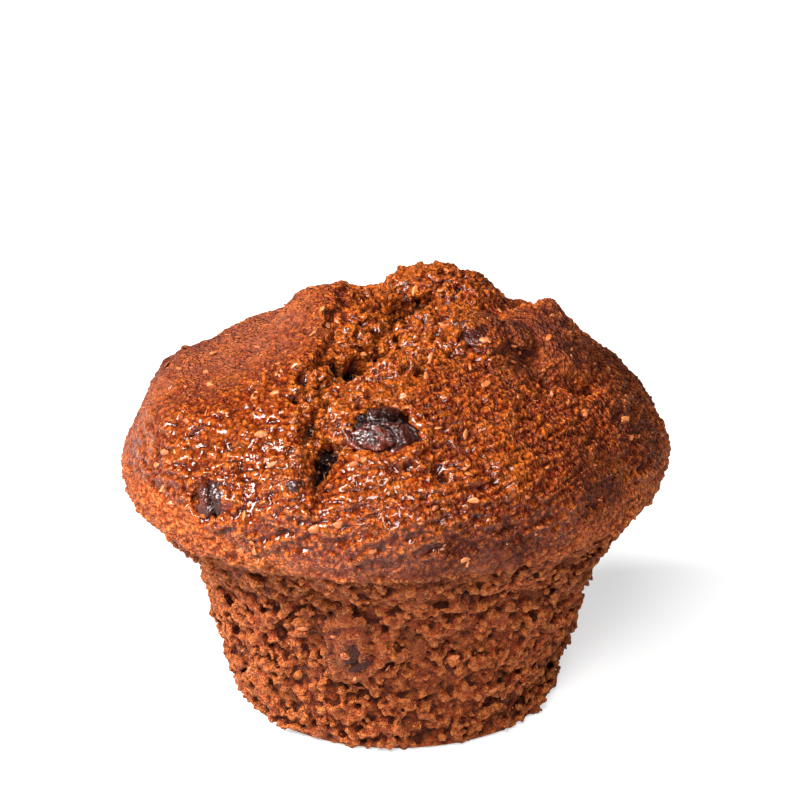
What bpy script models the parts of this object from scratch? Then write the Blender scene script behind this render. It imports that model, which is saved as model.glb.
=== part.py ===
"""Raisin muffin baked without a paper case: one baked body with raisins set into it.

Metres, +Z up. The muffin stands on its flat base with its front facing -Y.
Sizes below are in millimetres and are turned into metres where the meshes are made.
"""
import math

import bmesh
import bpy
from mathutils import Euler, Matrix, Vector, noise
from mathutils.bvhtree import BVHTree

MM = 0.001

# Cup: the part that the tin shaped
BASE_RADIUS = 28.3
BASE_SHIFT = 0.5
BASE_ROUND = 3.2
WALL_TOP_RADIUS = 34.6
WALL_TOP_HEIGHT = 23.0

# Crown: the part that rose over the tin's edge
LIP_RADIUS = 46.0
LIP_HEIGHT = 39.8
FLARE_HOLLOW = 1.55
LIP_TILT = 2.1
LIP_DEPTH = 8.0
CROWN_RADIUS = 47.1
CROWN_MIDDLE = 44.6
CROWN_RISE = 21.5
CROWN_FULLNESS = 2.5
CROWN_SHARPNESS = 2.2
CROWN_POINT = 5.0

# Unevenness of the baking: waves around the axis as count, height and start, then soft
# noise as height and cycles per millimetre
SIDE_WAVES = ((2, 0.4, 0.6), (3, 0.4, -1.1))
SIDE_NARROWING = 0.4
SIDE_NOISE = 1.4
SIDE_NOISE_PITCH = 0.06
TOP_NOISE = 0.9
TOP_NOISE_PITCH = 0.09
TOP_NOISE_LAYER = 7.0
TOP_LEAN = 0.5
TOP_LEAN_START = 2.2

# Heights over which the unevenness grows to full, and how fast lumps and cracks grow inward
# from the crown's edge
CUP_BLEND = 6.0
CROWN_BLEND = 3.0
EDGE_FADE = 14.0
AXIS_RADIUS = 1.0

# How a swelling falls off: shares of the squared and of the plain distance
LUMP_FLAT = 0.55
LUMP_ROUND = 0.35
CRACK_SHARPNESS = 1.5

# A raisin's folds: noise cycles per millimetre, deepest share, and share taken everywhere
FOLD_PITCH = 0.32
FOLD_DEPTH = 0.16
FOLD_SHRINK = 0.01

# Looks: colour and roughness
CRUMB_COLOR = (0.215, 0.062, 0.020)
CRUMB_ROUGHNESS = 0.6
SKIN_COLOR = (0.022, 0.010, 0.008)
SKIN_ROUGHNESS = 0.3

# Mesh fineness
TURN_STEPS = 60
BASE_STEP = 9.0
WALL_STEP = 3.2
CROWN_STEP = 2.3
ARC_POINTS = 24
DOME_POINTS = 96
WELD = 0.01
RAISIN_SEGMENTS = 12
RAISIN_RINGS = 9

# Raisins stay this far clear of the crumb around them
GAP = 0.35

# The point that places on the surface are measured from
HEART = Vector((0.0, 0.0, 40.0))

# Swellings of the crown: x, y, half-width along x, half-width along y, height
LUMPS = (
    (-13.0, 6.5, 7.0, 11.0, 4.9),
    (2.0, 17.0, 6.5, 7.0, 4.8),
    (10.5, 14.0, 7.0, 7.5, 4.9),
    (12.0, -6.0, 8.0, 8.0, 3.0),
    (0.0, -22.0, 10.0, 6.0, 2.0),
    (-19.0, -22.0, 8.0, 9.0, 1.4),
    (24.2, -2.5, 6.4, 8.0, 4.4),
    (-40.5, 0.0, 5.6, 22.0, 2.7),
    (-4.0, 32.0, 12.0, 8.0, 2.4),
    (24.0, 26.0, 9.0, 8.0, 1.8),
    (-28.0, 20.0, 9.0, 10.0, 1.2),
)

# Cracks where the top burst as it rose: points x, y, half-width, depth
CRACKS = (
    (
        (6.5, 10.5, 2.6, 1.5),
        (2.0, 8.0, 3.2, 4.4),
        (0.3, -0.7, 3.2, 4.6),
        (-1.4, -9.0, 3.4, 5.0),
        (-6.5, -16.8, 5.2, 8.5),
        (-11.5, -21.5, 4.2, 5.0),
        (-13.5, -31.8, 3.6, 3.6),
        (-12.6, -38.8, 3.4, 4.8),
        (-17.0, -41.5, 2.6, 2.0),
    ),
    (
        (2.0, 8.0, 2.4, 2.4),
        (-6.0, 20.0, 2.8, 3.0),
        (-14.0, 27.0, 3.0, 2.8),
        (-25.0, 30.0, 2.8, 1.2),
    ),
    (
        (17.0, 3.0, 2.6, 2.0),
        (18.0, -6.0, 2.4, 1.8),
        (24.0, -14.5, 3.2, 3.8),
        (32.0, -12.5, 3.0, 3.4),
    ),
)

# Raisins: name, azimuth, elevation from the heart, length, width, thickness,
# turn about the surface's normal, depth of the middle below the surface
RAISINS = (
    ("raisin_front", -96.0, 33.5, 14.5, 10.5, 8.0, -8.0, 1.8),
    ("raisin_rim", -132.5, 12.5, 9.5, 8.0, 6.5, 12.0, 1.9),
    ("raisin_crack_end", -114.0, 17.5, 9.0, 6.5, 6.0, 70.0, 1.6),
    ("raisin_top", -35.0, 60.0, 11.0, 9.5, 7.0, 20.0, 1.4),
    ("raisin_knob", 6.0, 47.5, 10.5, 8.0, 6.5, 10.0, 1.7),
    ("raisin_wall_front", -103.5, -27.0, 11.0, 7.5, 6.5, 80.0, 1.5),
    ("raisin_wall_right", 14.0, -24.0, 10.0, 8.0, 6.5, 30.0, 1.8),
    ("raisin_wall_back", 118.0, -32.0, 11.5, 8.0, 7.0, 55.0, 1.7),
    ("raisin_back", 98.0, 27.0, 13.0, 9.5, 7.5, -25.0, 1.7),
    ("raisin_back_left", 158.0, 17.0, 11.5, 9.0, 7.0, 35.0, 1.8),
    ("raisin_back_right", 42.0, 17.0, 12.0, 8.5, 7.0, 60.0, 1.7),
)


def clear_scene():
    """Remove whatever the scene holds."""
    for old in list(bpy.context.scene.objects):
        bpy.data.objects.remove(old, do_unlink=True)


def make_material(name, color, roughness):
    """A plain Principled material."""
    material = bpy.data.materials.new(name)
    material.use_nodes = True
    shader = material.node_tree.nodes["Principled BSDF"]
    shader.inputs["Base Color"].default_value = (*color, 1.0)
    shader.inputs["Roughness"].default_value = roughness
    shader.inputs["Metallic"].default_value = 0.0
    return material


def put_in_scene(name, mesh, material):
    """An object of the given mesh, linked to the scene."""
    mesh.materials.append(material)
    part = bpy.data.objects.new(name, mesh)
    bpy.context.scene.collection.objects.link(part)
    return part


def crown_height(radius):
    """Height of the plain crown's top at a distance from the axis."""
    reach = min(radius / CROWN_RADIUS, 1.0)
    swell = CROWN_RISE * (1.0 - reach ** CROWN_FULLNESS) ** (1.0 / CROWN_SHARPNESS)
    return CROWN_MIDDLE + swell + CROWN_POINT * (1.0 - reach)


def even_steps(points, step):
    """Points at even steps along a polyline, without its first point."""
    lengths = [0.0]
    for start, end in zip(points[:-1], points[1:]):
        lengths.append(lengths[-1] + math.dist(start, end))
    count = max(1, round(lengths[-1] / step))
    out = []
    index = 0
    for number in range(1, count + 1):
        target = lengths[-1] * number / count
        while index < len(points) - 2 and lengths[index + 1] < target:
            index += 1
        span = lengths[index + 1] - lengths[index]
        part = (target - lengths[index]) / span if span else 0.0
        start, end = points[index], points[index + 1]
        out.append(tuple(a + (b - a) * part for a, b in zip(start, end)))
    return out


def outline():
    """The turned outline as (radius, height), from the base's middle to the top."""
    corner = BASE_RADIUS - BASE_ROUND
    points = [(0.0, 0.0)]
    points += even_steps([(0.0, 0.0), (corner, 0.0)], BASE_STEP)

    lean = math.atan2(WALL_TOP_RADIUS - BASE_RADIUS, WALL_TOP_HEIGHT)
    arc = []
    for number in range(ARC_POINTS + 1):
        angle = -math.pi / 2 + (math.pi / 2 - lean) * number / ARC_POINTS
        arc.append((corner + BASE_ROUND * math.cos(angle),
                    BASE_ROUND + BASE_ROUND * math.sin(angle)))
    points += even_steps(arc, WALL_STEP / 2)
    points += even_steps([arc[-1], (WALL_TOP_RADIUS, WALL_TOP_HEIGHT)], WALL_STEP)

    flare = []
    for number in range(ARC_POINTS + 1):
        rise = number / ARC_POINTS
        flare.append((WALL_TOP_RADIUS + (LIP_RADIUS - WALL_TOP_RADIUS) * rise ** FLARE_HOLLOW,
                      WALL_TOP_HEIGHT + (LIP_HEIGHT - WALL_TOP_HEIGHT) * rise))
    points += even_steps(flare, WALL_STEP)

    rim = []
    for number in range(ARC_POINTS + 1):
        angle = math.pi / 2 * number / ARC_POINTS
        rim.append((LIP_RADIUS + (CROWN_RADIUS - LIP_RADIUS) * math.sin(angle),
                    LIP_HEIGHT + (CROWN_MIDDLE - LIP_HEIGHT) * (1.0 - math.cos(angle))))
    points += even_steps(rim, CROWN_STEP)

    dome = []
    for number in range(DOME_POINTS + 1):
        radius = CROWN_RADIUS * math.cos(math.pi / 2 * number / DOME_POINTS)
        dome.append((max(radius, 0.0), crown_height(radius)))
    points += even_steps(dome, CROWN_STEP)
    points[-1] = (0.0, points[-1][1])
    return points


def lump_height(x, y):
    """How far the swellings lift the crown at a place."""
    lift = 0.0
    for middle_x, middle_y, width_x, width_y, height in LUMPS:
        away = ((x - middle_x) / width_x) ** 2 + ((y - middle_y) / width_y) ** 2
        lift += height * math.exp(-away * away * LUMP_FLAT - away * LUMP_ROUND)
    return lift


def crack_depth(x, y):
    """How deep the cracks cut at a place."""
    deepest = 0.0
    here = Vector((x, y))
    for crack in CRACKS:
        for start, end in zip(crack[:-1], crack[1:]):
            run = Vector(end[:2]) - Vector(start[:2])
            along = (here - Vector(start[:2])).dot(run) / run.length_squared
            along = min(max(along, 0.0), 1.0)
            away = (here - Vector(start[:2]) - run * along).length
            width = start[2] + (end[2] - start[2]) * along
            depth = start[3] + (end[3] - start[3]) * along
            if away < width:
                deepest = max(deepest, depth * (1.0 - (away / width) ** 2) ** CRACK_SHARPNESS)
    return deepest


def shape_point(point):
    """Move a point of the turned form to its place on the uneven muffin."""
    x, y, z = point
    radius = math.hypot(x, y)
    angle = math.atan2(y, x)
    if z <= 0.0:
        return Vector((x - BASE_SHIFT, y, 0.0))

    wobble = sum(height * math.sin(count * angle + start) for count, height, start in SIDE_WAVES)
    wobble += SIDE_NOISE * noise.noise(Vector((x, y, z)) * SIDE_NOISE_PITCH)
    wobble -= SIDE_NARROWING * math.cos(angle)
    crown_part = min(max((z - LIP_HEIGHT) / CROWN_BLEND, 0.0), 1.0)
    cup_part = min(z / CUP_BLEND, 1.0)
    lean = BASE_SHIFT * max(1.0 - z / WALL_TOP_HEIGHT, 0.0)
    lip_near = math.exp(-((z - LIP_HEIGHT) / LIP_DEPTH) ** 2) * min(radius / LIP_RADIUS, 1.0) ** 2
    lift = LIP_TILT * max(math.cos(angle), 0.0) * lip_near
    if radius > AXIS_RADIUS:
        spread = wobble * min(radius / CROWN_RADIUS, 1.0) * cup_part
        x += x / radius * spread
        y += y / radius * spread

    if z > CROWN_MIDDLE:
        reach = min(radius / CROWN_RADIUS, 1.0)
        fade = min((1.0 - reach) * EDGE_FADE, 1.0)
        z += (lump_height(x, y) - crack_depth(x, y)) * fade
    x -= lean
    waves = noise.noise(Vector((x, y, TOP_NOISE_LAYER)) * TOP_NOISE_PITCH)
    z += lift + crown_part * TOP_NOISE * waves
    lean_up = TOP_LEAN * math.sin(angle + TOP_LEAN_START)
    z += crown_part * lean_up * min(radius / CROWN_RADIUS, 1.0)
    return Vector((x, y, z))


def build_body(material):
    """The baked body: a turned outline, made uneven."""
    mesh = bpy.data.meshes.new("muffin")
    shape = bmesh.new()
    last = None
    for radius, height in outline():
        vert = shape.verts.new((radius, 0.0, height))
        if last:
            shape.edges.new((last, vert))
        last = vert
    bmesh.ops.spin(shape, geom=shape.verts[:] + shape.edges[:], cent=(0, 0, 0),
                   axis=(0, 0, 1), angle=2 * math.pi, steps=TURN_STEPS, use_merge=True)
    bmesh.ops.remove_doubles(shape, verts=shape.verts, dist=WELD)
    for vert in shape.verts:
        vert.co = shape_point(vert.co)
    bmesh.ops.recalc_face_normals(shape, faces=shape.faces)
    bmesh.ops.triangulate(shape, faces=shape.faces)
    surface = BVHTree.FromBMesh(shape)
    bmesh.ops.scale(shape, vec=(MM, MM, MM), verts=shape.verts)
    shape.to_mesh(mesh)
    shape.free()
    mesh.shade_smooth()
    return put_in_scene("muffin", mesh, material), surface


def ellipsoid(name, length, width, thickness):
    """A closed egg-like shape, in metres, with its thickness along Z, and a mesh to hold it."""
    mesh = bpy.data.meshes.new(name)
    shape = bmesh.new()
    bmesh.ops.create_uvsphere(shape, u_segments=RAISIN_SEGMENTS, v_segments=RAISIN_RINGS,
                              radius=0.5)
    bmesh.ops.scale(shape, vec=(length * MM, width * MM, thickness * MM), verts=shape.verts)
    bmesh.ops.triangulate(shape, faces=shape.faces)
    return mesh, shape


def build_raisin(name, size, place, material):
    """One raisin: an egg shape whose skin has sunk in between folds."""
    mesh, shape = ellipsoid(name, *size)
    for vert in shape.verts:
        folds = noise.noise(vert.co / MM * FOLD_PITCH + place.translation / MM)
        vert.co *= 1.0 - FOLD_DEPTH * abs(folds) - FOLD_SHRINK
    shape.to_mesh(mesh)
    shape.free()
    mesh.shade_smooth()
    raisin = put_in_scene(name, mesh, material)
    raisin.matrix_world = place
    return raisin


def cut_pocket(body, name, size, place, material):
    """Cut the room for one raisin out of the body."""
    mesh, shape = ellipsoid(name + "_pocket", *(extent + 2 * GAP for extent in size))
    shape.to_mesh(mesh)
    shape.free()
    cutter = put_in_scene(name + "_pocket", mesh, material)
    cutter.matrix_world = place
    cutter.hide_render = True
    cutter.display_type = "WIRE"
    cut = body.modifiers.new(name + "_pocket", "BOOLEAN")
    cut.operation = "DIFFERENCE"
    cut.solver = "EXACT"
    cut.object = cutter
    return cutter


def raisin_place(surface, azimuth, elevation, turn, sink):
    """Where a raisin lies: flat along the surface, its middle sunk below it."""
    out = Vector((math.cos(math.radians(elevation)), 0.0, math.sin(math.radians(elevation))))
    out.rotate(Euler((0.0, 0.0, math.radians(azimuth))))
    hit, normal, _, _ = surface.ray_cast(HEART, out)
    lie = normal.to_track_quat("Z", "Y").to_matrix().to_4x4()
    spin = Matrix.Rotation(math.radians(turn), 4, "Z")
    return Matrix.Translation((hit - normal * sink) * MM) @ lie @ spin


def rest_on_origin(parts):
    """Hang the parts on an empty that puts their base's middle on the origin."""
    corners = [vert.co for vert in parts[0].data.vertices]
    middle = Vector((0.0, 0.0, 0.0))
    for axis in range(2):
        values = [corner[axis] for corner in corners]
        middle[axis] = (min(values) + max(values)) / 2
    holder = bpy.data.objects.new("muffin_origin", None)
    bpy.context.scene.collection.objects.link(holder)
    for part in parts:
        part.parent = holder
    holder.location = -middle


def main():
    clear_scene()
    crumb = make_material("baked_crumb", CRUMB_COLOR, CRUMB_ROUGHNESS)
    skin = make_material("raisin_skin", SKIN_COLOR, SKIN_ROUGHNESS)
    body, surface = build_body(crumb)
    parts = [body]
    for name, azimuth, elevation, length, width, thickness, turn, sink in RAISINS:
        size = (length, width, thickness)
        place = raisin_place(surface, azimuth, elevation, turn, sink)
        parts.append(build_raisin(name, size, place, skin))
        parts.append(cut_pocket(body, name, size, place, crumb))
    rest_on_origin(parts)


main()
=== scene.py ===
"""Raisin bran muffin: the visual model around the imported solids.

The baked body is a crown and a cup, made from the body's own solid. The raisins, the bran
flakes and the loose crumbs are pieces of their own. Lengths are in millimetres while a piece
is shaped, and in metres once it is finished. The front of the muffin faces -Y.
"""

import itertools
import math

import bmesh
import bpy
import numpy as np
from bpy.props import FloatProperty, FloatVectorProperty, IntProperty, PointerProperty
from mathutils import Matrix, Vector
from mathutils.bvhtree import BVHTree


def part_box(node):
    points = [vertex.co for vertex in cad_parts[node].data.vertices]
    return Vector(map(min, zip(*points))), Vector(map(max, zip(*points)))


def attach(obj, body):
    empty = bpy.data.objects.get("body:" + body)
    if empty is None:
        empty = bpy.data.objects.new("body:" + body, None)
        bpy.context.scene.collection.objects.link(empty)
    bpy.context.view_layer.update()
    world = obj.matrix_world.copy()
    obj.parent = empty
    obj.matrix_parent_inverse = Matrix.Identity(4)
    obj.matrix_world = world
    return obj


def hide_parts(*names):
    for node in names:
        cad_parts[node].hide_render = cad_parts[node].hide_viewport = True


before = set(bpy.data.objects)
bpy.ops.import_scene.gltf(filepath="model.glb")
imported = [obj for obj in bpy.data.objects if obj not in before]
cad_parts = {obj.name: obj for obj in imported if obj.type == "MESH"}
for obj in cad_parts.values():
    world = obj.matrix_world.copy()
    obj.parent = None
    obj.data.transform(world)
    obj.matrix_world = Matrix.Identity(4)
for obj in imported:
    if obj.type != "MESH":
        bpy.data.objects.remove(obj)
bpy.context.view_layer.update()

bl_info = {
    "name": "Raisin Bran Muffin",
    "version": (1, 0, 0),
    "blender": (4, 5, 0),
    "location": "3D View > Sidebar > Muffin",
    "description": "Builds a raisin bran muffin around its packed solids",
    "category": "Add Mesh",
}

MM = 0.001
BODY = "root"
RAISIN_NODES = sorted(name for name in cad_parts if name.startswith("raisin"))

# Where the crown's edge lies over the cup, in millimetres; it is higher on the right
LIP_HEIGHT = 40.2
LIP_SLOPE = 0.022
LIP_OVERHANG = 1.1

# Sizes of the dough's parts, in millimetres
LOBE_SIZE = 4.2
GRAIN_SIZE = 1.20
PORE_SIZE = 1.5
CRUST_BUMP = 1.35
CRUMB_BUMP = 1.3
RAISIN_BUMP = 0.30
BRAN_BUMP = 0.05
LIGHT_DEPTH = 1.2

# Light passes through dough for a short way, mostly the red
LIGHT_SHARE = 0.12
DOUGH_RADIUS = (1.0, 0.35, 0.15)
FRUIT_RADIUS = (1.0, 0.30, 0.15)

# The top is pressed down a little above this height, by this share
TOP_START = 73.0
TOP_PRESS = 0.4

# The largest number of triangles in the crown and in the cup
MOST_TRIANGLES = 192000

# Balls laid around a raisin: degrees between rays, millimetres between balls, how far past the
# raisin's edge they go, the share of the way left open where nothing laps, the height from which
# rays look down, and the reach and the step of the search for the edge
LAP_TURN = 7.0
LAP_STEP = 0.55
LAP_PAST = 1.3
LEFT_OPEN = 0.97
RAY_HEIGHT = 14.0
EDGE_REACH = (0.6, 11.0, 0.3)

# How many places are tried for lobes in the torn top, and for crumb on the crown and the cup
BURST_TRIES = 5200
MOST_LOBES = 520
CROWN_CRUMB_TRIES = 9000
CUP_CRUMB_TRIES = 11500
CORE_DEPTH = 1.5

# Lamps: name, azimuth and elevation in degrees, side in metres, watts
LAMPS = (
    ("key_lamp", (-160.0, 40.0), 0.36, 24.0),
    ("front_lamp", (-92.0, 38.0), 0.30, 11.0),
)
LAMP_DISTANCE = 1.0
LAMP_AIM = Vector((0.0, 0.0, 0.045))
WORLD_LIGHT = 0.05
FLOOR_GLOW = 0.62
FLOOR_SIZE = 6.0

# The torn top: x, y, half-width of the burst batter
BURST = (
    (9.0, 16.0, 11.0),
    (3.0, 5.0, 12.5),
    (4.0, -7.0, 12.0),
    (-1.0, -17.0, 9.5),
    (-9.0, -23.0, 6.5),
    (-13.0, -33.0, 4.0),
    (-14.5, -38.0, 3.0),
)

# Openings in the crown: start, end, radius, depth
CROWN_HOLES = (
    ((4.6, 9.6, 70.2), (0.8, 6.8, 69.0), 1.7, 3.4),
    ((0.8, 6.8, 69.0), (-0.3, 0.0, 68.4), 1.3, 3.0),
    ((-0.3, 0.0, 68.4), (-1.7, -5.8, 67.2), 1.5, 3.2),
    ((-1.7, -5.8, 67.2), (-3.4, -11.0, 66.0), 1.5, 3.4),
    ((-4.0, -12.5, 65.4), (-9.6, -16.2, 65.6), 2.5, 6.0),
    ((-5.2, -20.0, 62.5), (-8.6, -22.4, 62.0), 1.9, 4.2),
    ((-10.6, -18.6, 65.0), (-11.4, -26.0, 62.4), 0.9, 3.4),
    ((-12.6, -18.4, 66.0), (-13.2, -25.6, 63.0), 0.8, 3.0),
    ((-15.4, -20.6, 66.8), (-16.2, -23.6, 65.4), 1.1, 2.6),
    ((-16.6, -26.6, 64.0), (-15.2, -28.0, 63.0), 0.9, 2.0),
    ((-13.4, -28.6, 61.6), (-14.2, -31.6, 60.2), 1.5, 2.8),
    ((-11.0, -34.4, 58.6), (-13.9, -37.2, 54.6), 2.0, 4.6),
    ((-17.6, -37.8, 52.0), (-18.6, -38.6, 50.6), 1.3, 2.6),
    ((7.0, -40.6, 57.4), (7.9, -40.9, 56.4), 1.0, 2.4),
    ((8.6, -39.4, 58.0), (11.0, -39.4, 57.6), 0.5, 0.9),
    ((-32.6, -23.0, 58.5), (-35.6, -22.9, 56.5), 0.7, 1.5),
    ((-28.2, -29.6, 57.6), (-27.6, -30.6, 57.0), 0.8, 1.5),
    ((-22.6, -19.8, 64.9), (-23.6, -20.4, 64.4), 0.8, 1.3),
    ((23.0, -19.8, 64.6), (28.6, -17.4, 63.2), 1.2, 2.8),
    ((32.0, -12.6, 61.6), (33.2, -11.4, 60.6), 1.3, 2.6),
    ((22.6, -10.4, 69.4), (23.4, -13.6, 68.0), 0.4, 0.8),
    ((41.0, -19.8, 52.5), (41.3, -20.4, 51.9), 0.7, 1.2),
    ((40.3, -22.7, 50.3), (40.5, -23.3, 49.8), 0.6, 1.1),
    ((37.2, -26.7, 50.6), (37.0, -27.4, 50.4), 0.6, 1.1),
    ((34.3, -31.8, 48.4), (33.8, -32.4, 48.2), 0.6, 1.1),
    ((-2.0, 26.0, 67.0), (-8.0, 31.0, 64.5), 1.3, 2.6),
    ((20.0, 24.0, 66.0), (26.0, 27.0, 63.0), 1.1, 2.2),
    ((-30.0, 22.0, 60.5), (-33.0, 20.0, 58.8), 1.0, 1.8),
    ((12.0, 38.0, 59.0), (15.0, 38.0, 58.4), 1.0, 1.8),
)

# Threads of batter that stayed whole where the top tore: start, end, radius, sag
STRANDS = (
    ((-14.6, -18.6, 66.6), (-14.3, -27.4, 62.6), 0.55, 0.9),
    ((-12.2, -17.4, 66.4), (-12.4, -27.8, 61.9), 0.70, 0.7),
    ((-10.9, -17.2, 65.9), (-10.6, -26.6, 62.2), 0.50, 0.9),
    ((-9.3, -17.4, 65.6), (-9.6, -25.4, 62.8), 0.55, 1.1),
    ((-16.8, -24.8, 65.0), (-13.4, -25.6, 63.4), 0.75, 0.2),
    ((-4.2, -10.6, 66.8), (-3.4, -15.8, 65.4), 0.60, 0.9),
    ((-1.4, -3.0, 68.6), (1.2, -3.6, 69.2), 0.55, 0.5),
)

# Lobes of batter over and beside the raisins: x, y, z, radius, flatness
LOBES = (
    (20.6, -8.6, 69.6, 3.4, 0.62),
    (14.6, -6.4, 71.4, 2.2, 0.55),
    (17.4, -9.6, 69.7, 3.0, 0.70),
    (-8.6, -31.4, 63.4, 2.6, 0.50),
    (-6.2, -29.8, 64.6, 2.2, 0.50),
    (-9.0, -33.8, 60.8, 2.0, 0.60),
    (-27.6, -32.6, 54.6, 2.4, 0.50),
    (-5.6, -12.0, 65.4, 1.7, 0.90),
    (-1.6, -9.0, 67.6, 1.8, 0.90),
    (-8.0, -9.6, 69.4, 2.3, 0.85),
    (-6.8, -3.6, 70.6, 2.6, 0.80),
    (-3.2, 5.0, 70.4, 2.5, 0.80),
    (8.6, 12.6, 73.2, 2.6, 0.60),
    (3.6, 13.6, 72.6, 2.2, 0.60),
    (27.0, 2.0, 70.6, 2.6, 0.60),
)

# The torn edge of the crust plate on the left, seen from above: x, y, back to front
PLATE_EDGE = (
    (-9.0, 9.0),
    (-10.6, 2.6),
    (-10.9, -3.4),
    (-11.3, -7.9),
    (-12.4, -15.1),
    (-14.6, -19.6),
)

# Batter lapped over the raisins: direction seen from outside (0 right, 90 up), half-width of
# the lap in degrees, and the share of the way from the middle that it leaves open
LAPS = {
    "raisin_front": ((140.0, 50.0, 0.80),),
    "raisin_rim": ((40.0, 90.0, 0.72), (265.0, 80.0, 0.75)),
    "raisin_crack_end": ((200.0, 150.0, -0.20), (300.0, 100.0, 0.10), (90.0, 70.0, 0.45)),
    "raisin_top": ((0.0, 165.0, -0.40), (270.0, 80.0, 0.10), (90.0, 80.0, 0.30)),
    "raisin_knob": ((225.0, 120.0, 0.20), (320.0, 70.0, 0.50)),
    "raisin_wall_front": ((180.0, 110.0, 0.20), (350.0, 90.0, 0.40), (80.0, 70.0, 0.50)),
    "raisin_wall_right": ((30.0, 90.0, 0.40), (250.0, 70.0, 0.60)),
    "raisin_wall_back": ((200.0, 90.0, 0.40), (80.0, 60.0, 0.60)),
    "raisin_back": ((60.0, 80.0, 0.60),),
    "raisin_back_left": ((200.0, 90.0, 0.50),),
    "raisin_back_right": ((120.0, 90.0, 0.55),),
}

# Deep folds pressed into raisins: start, end, radius, depth
FOLDS = {
    "raisin_front": (((-6.8, -33.8, 62.9), (5.0, -33.0, 64.0), 2.3, 4.4),
                     ((-1.5, -38.0, 60.5), (1.5, -34.5, 63.5), 1.2, 0.9)),
    "raisin_rim": (((-33.0, -33.0, 49.6), (-25.5, -37.5, 48.6), 1.4, 1.6),),
}

# Purple-brown bloom over the dough: x, y, z, radius
STAINS = (
    (18.0, -8.0, 70.5, 7.0),
    (23.0, -13.0, 67.5, 6.0),
    (26.5, -5.0, 70.5, 8.0),
    (30.0, -7.0, 66.0, 3.5),
    (9.0, -34.0, 60.0, 4.0),
    (10.0, -44.0, 45.0, 7.0),
    (20.0, -41.0, 45.0, 7.5),
    (34.0, -30.0, 50.0, 9.0),
    (42.0, -14.0, 55.0, 9.0),
    (40.0, 8.0, 60.0, 9.0),
    (-10.5, -35.0, 23.0, 7.0),
    (-5.0, -34.0, 27.0, 4.0),
    (-3.0, -44.0, 41.5, 4.0),
    (6.0, -44.5, 41.5, 4.0),
    (-40.0, 8.0, 60.0, 8.0),
    (-36.0, 10.0, 64.0, 7.0),
)

# Caverns in the cup's crumb: start, end, radius, depth
CUP_HOLES = (
    ((-18.6, -33.4, 31.0), (-17.6, -34.4, 30.0), 1.5, 3.0),
    ((-14.4, -37.6, 34.0), (-12.4, -37.4, 32.6), 1.3, 3.2),
    ((-11.6, -36.4, 31.6), (-9.8, -36.2, 30.8), 0.9, 2.4),
    ((-13.6, -32.0, 24.8), (-12.6, -32.0, 22.6), 1.0, 2.6),
    ((-5.6, -42.2, 36.8), (-3.6, -42.4, 36.6), 1.2, 2.4),
    ((-0.9, -43.6, 37.9), (0.4, -43.4, 37.6), 0.9, 2.4),
    ((2.2, -35.8, 25.4), (4.4, -35.0, 23.4), 1.3, 2.8),
    ((5.6, -34.2, 21.4), (4.8, -33.6, 19.2), 1.2, 2.6),
    ((-20.4, -26.6, 19.0), (-16.6, -27.8, 16.0), 0.9, 2.6),
    ((2.2, -33.8, 19.3), (1.4, -33.4, 17.6), 0.9, 2.0),
    ((-14.8, -28.6, 15.6), (-13.6, -28.8, 14.2), 0.8, 2.0),
    ((5.9, -43.6, 38.2), (8.4, -43.0, 37.8), 0.8, 2.2),
    ((12.6, -37.6, 32.9), (15.4, -36.6, 32.0), 1.7, 2.0),
    ((8.7, -37.0, 29.9), (9.6, -36.4, 28.6), 1.0, 1.8),
    ((7.8, -33.9, 22.6), (8.9, -33.4, 21.0), 1.1, 2.4),
    ((12.2, -32.6, 24.0), (13.2, -32.0, 22.2), 1.1, 2.2),
    ((15.4, -29.0, 16.2), (16.0, -28.2, 14.4), 0.9, 2.0),
    ((18.0, -27.2, 15.4), (18.8, -26.6, 14.2), 1.0, 2.2),
    ((9.9, -29.0, 9.8), (10.8, -28.4, 8.4), 0.9, 1.8),
    ((3.0, -28.7, 4.6), (3.6, -28.4, 3.2), 0.8, 1.6),
    ((24.2, -28.6, 30.2), (25.6, -27.6, 29.6), 1.2, 2.2),
    ((29.4, -27.0, 33.7), (30.6, -26.0, 33.4), 1.0, 2.0),
)


def from_srgb(red, green, blue):
    """A colour as the screen shows it, 0 to 255, turned to linear light."""
    shares = [channel / 255.0 for channel in (red, green, blue)]
    return tuple(s / 12.92 if s <= 0.04045 else ((s + 0.055) / 1.055) ** 2.4 for s in shares)


# ---------------------------------------------------------------- settings


def color_setting(name, note, color):
    """A colour property."""
    return FloatVectorProperty(name=name, description=note, default=color, size=3,
                               min=0.0, max=1.0, subtype="COLOR")


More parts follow.
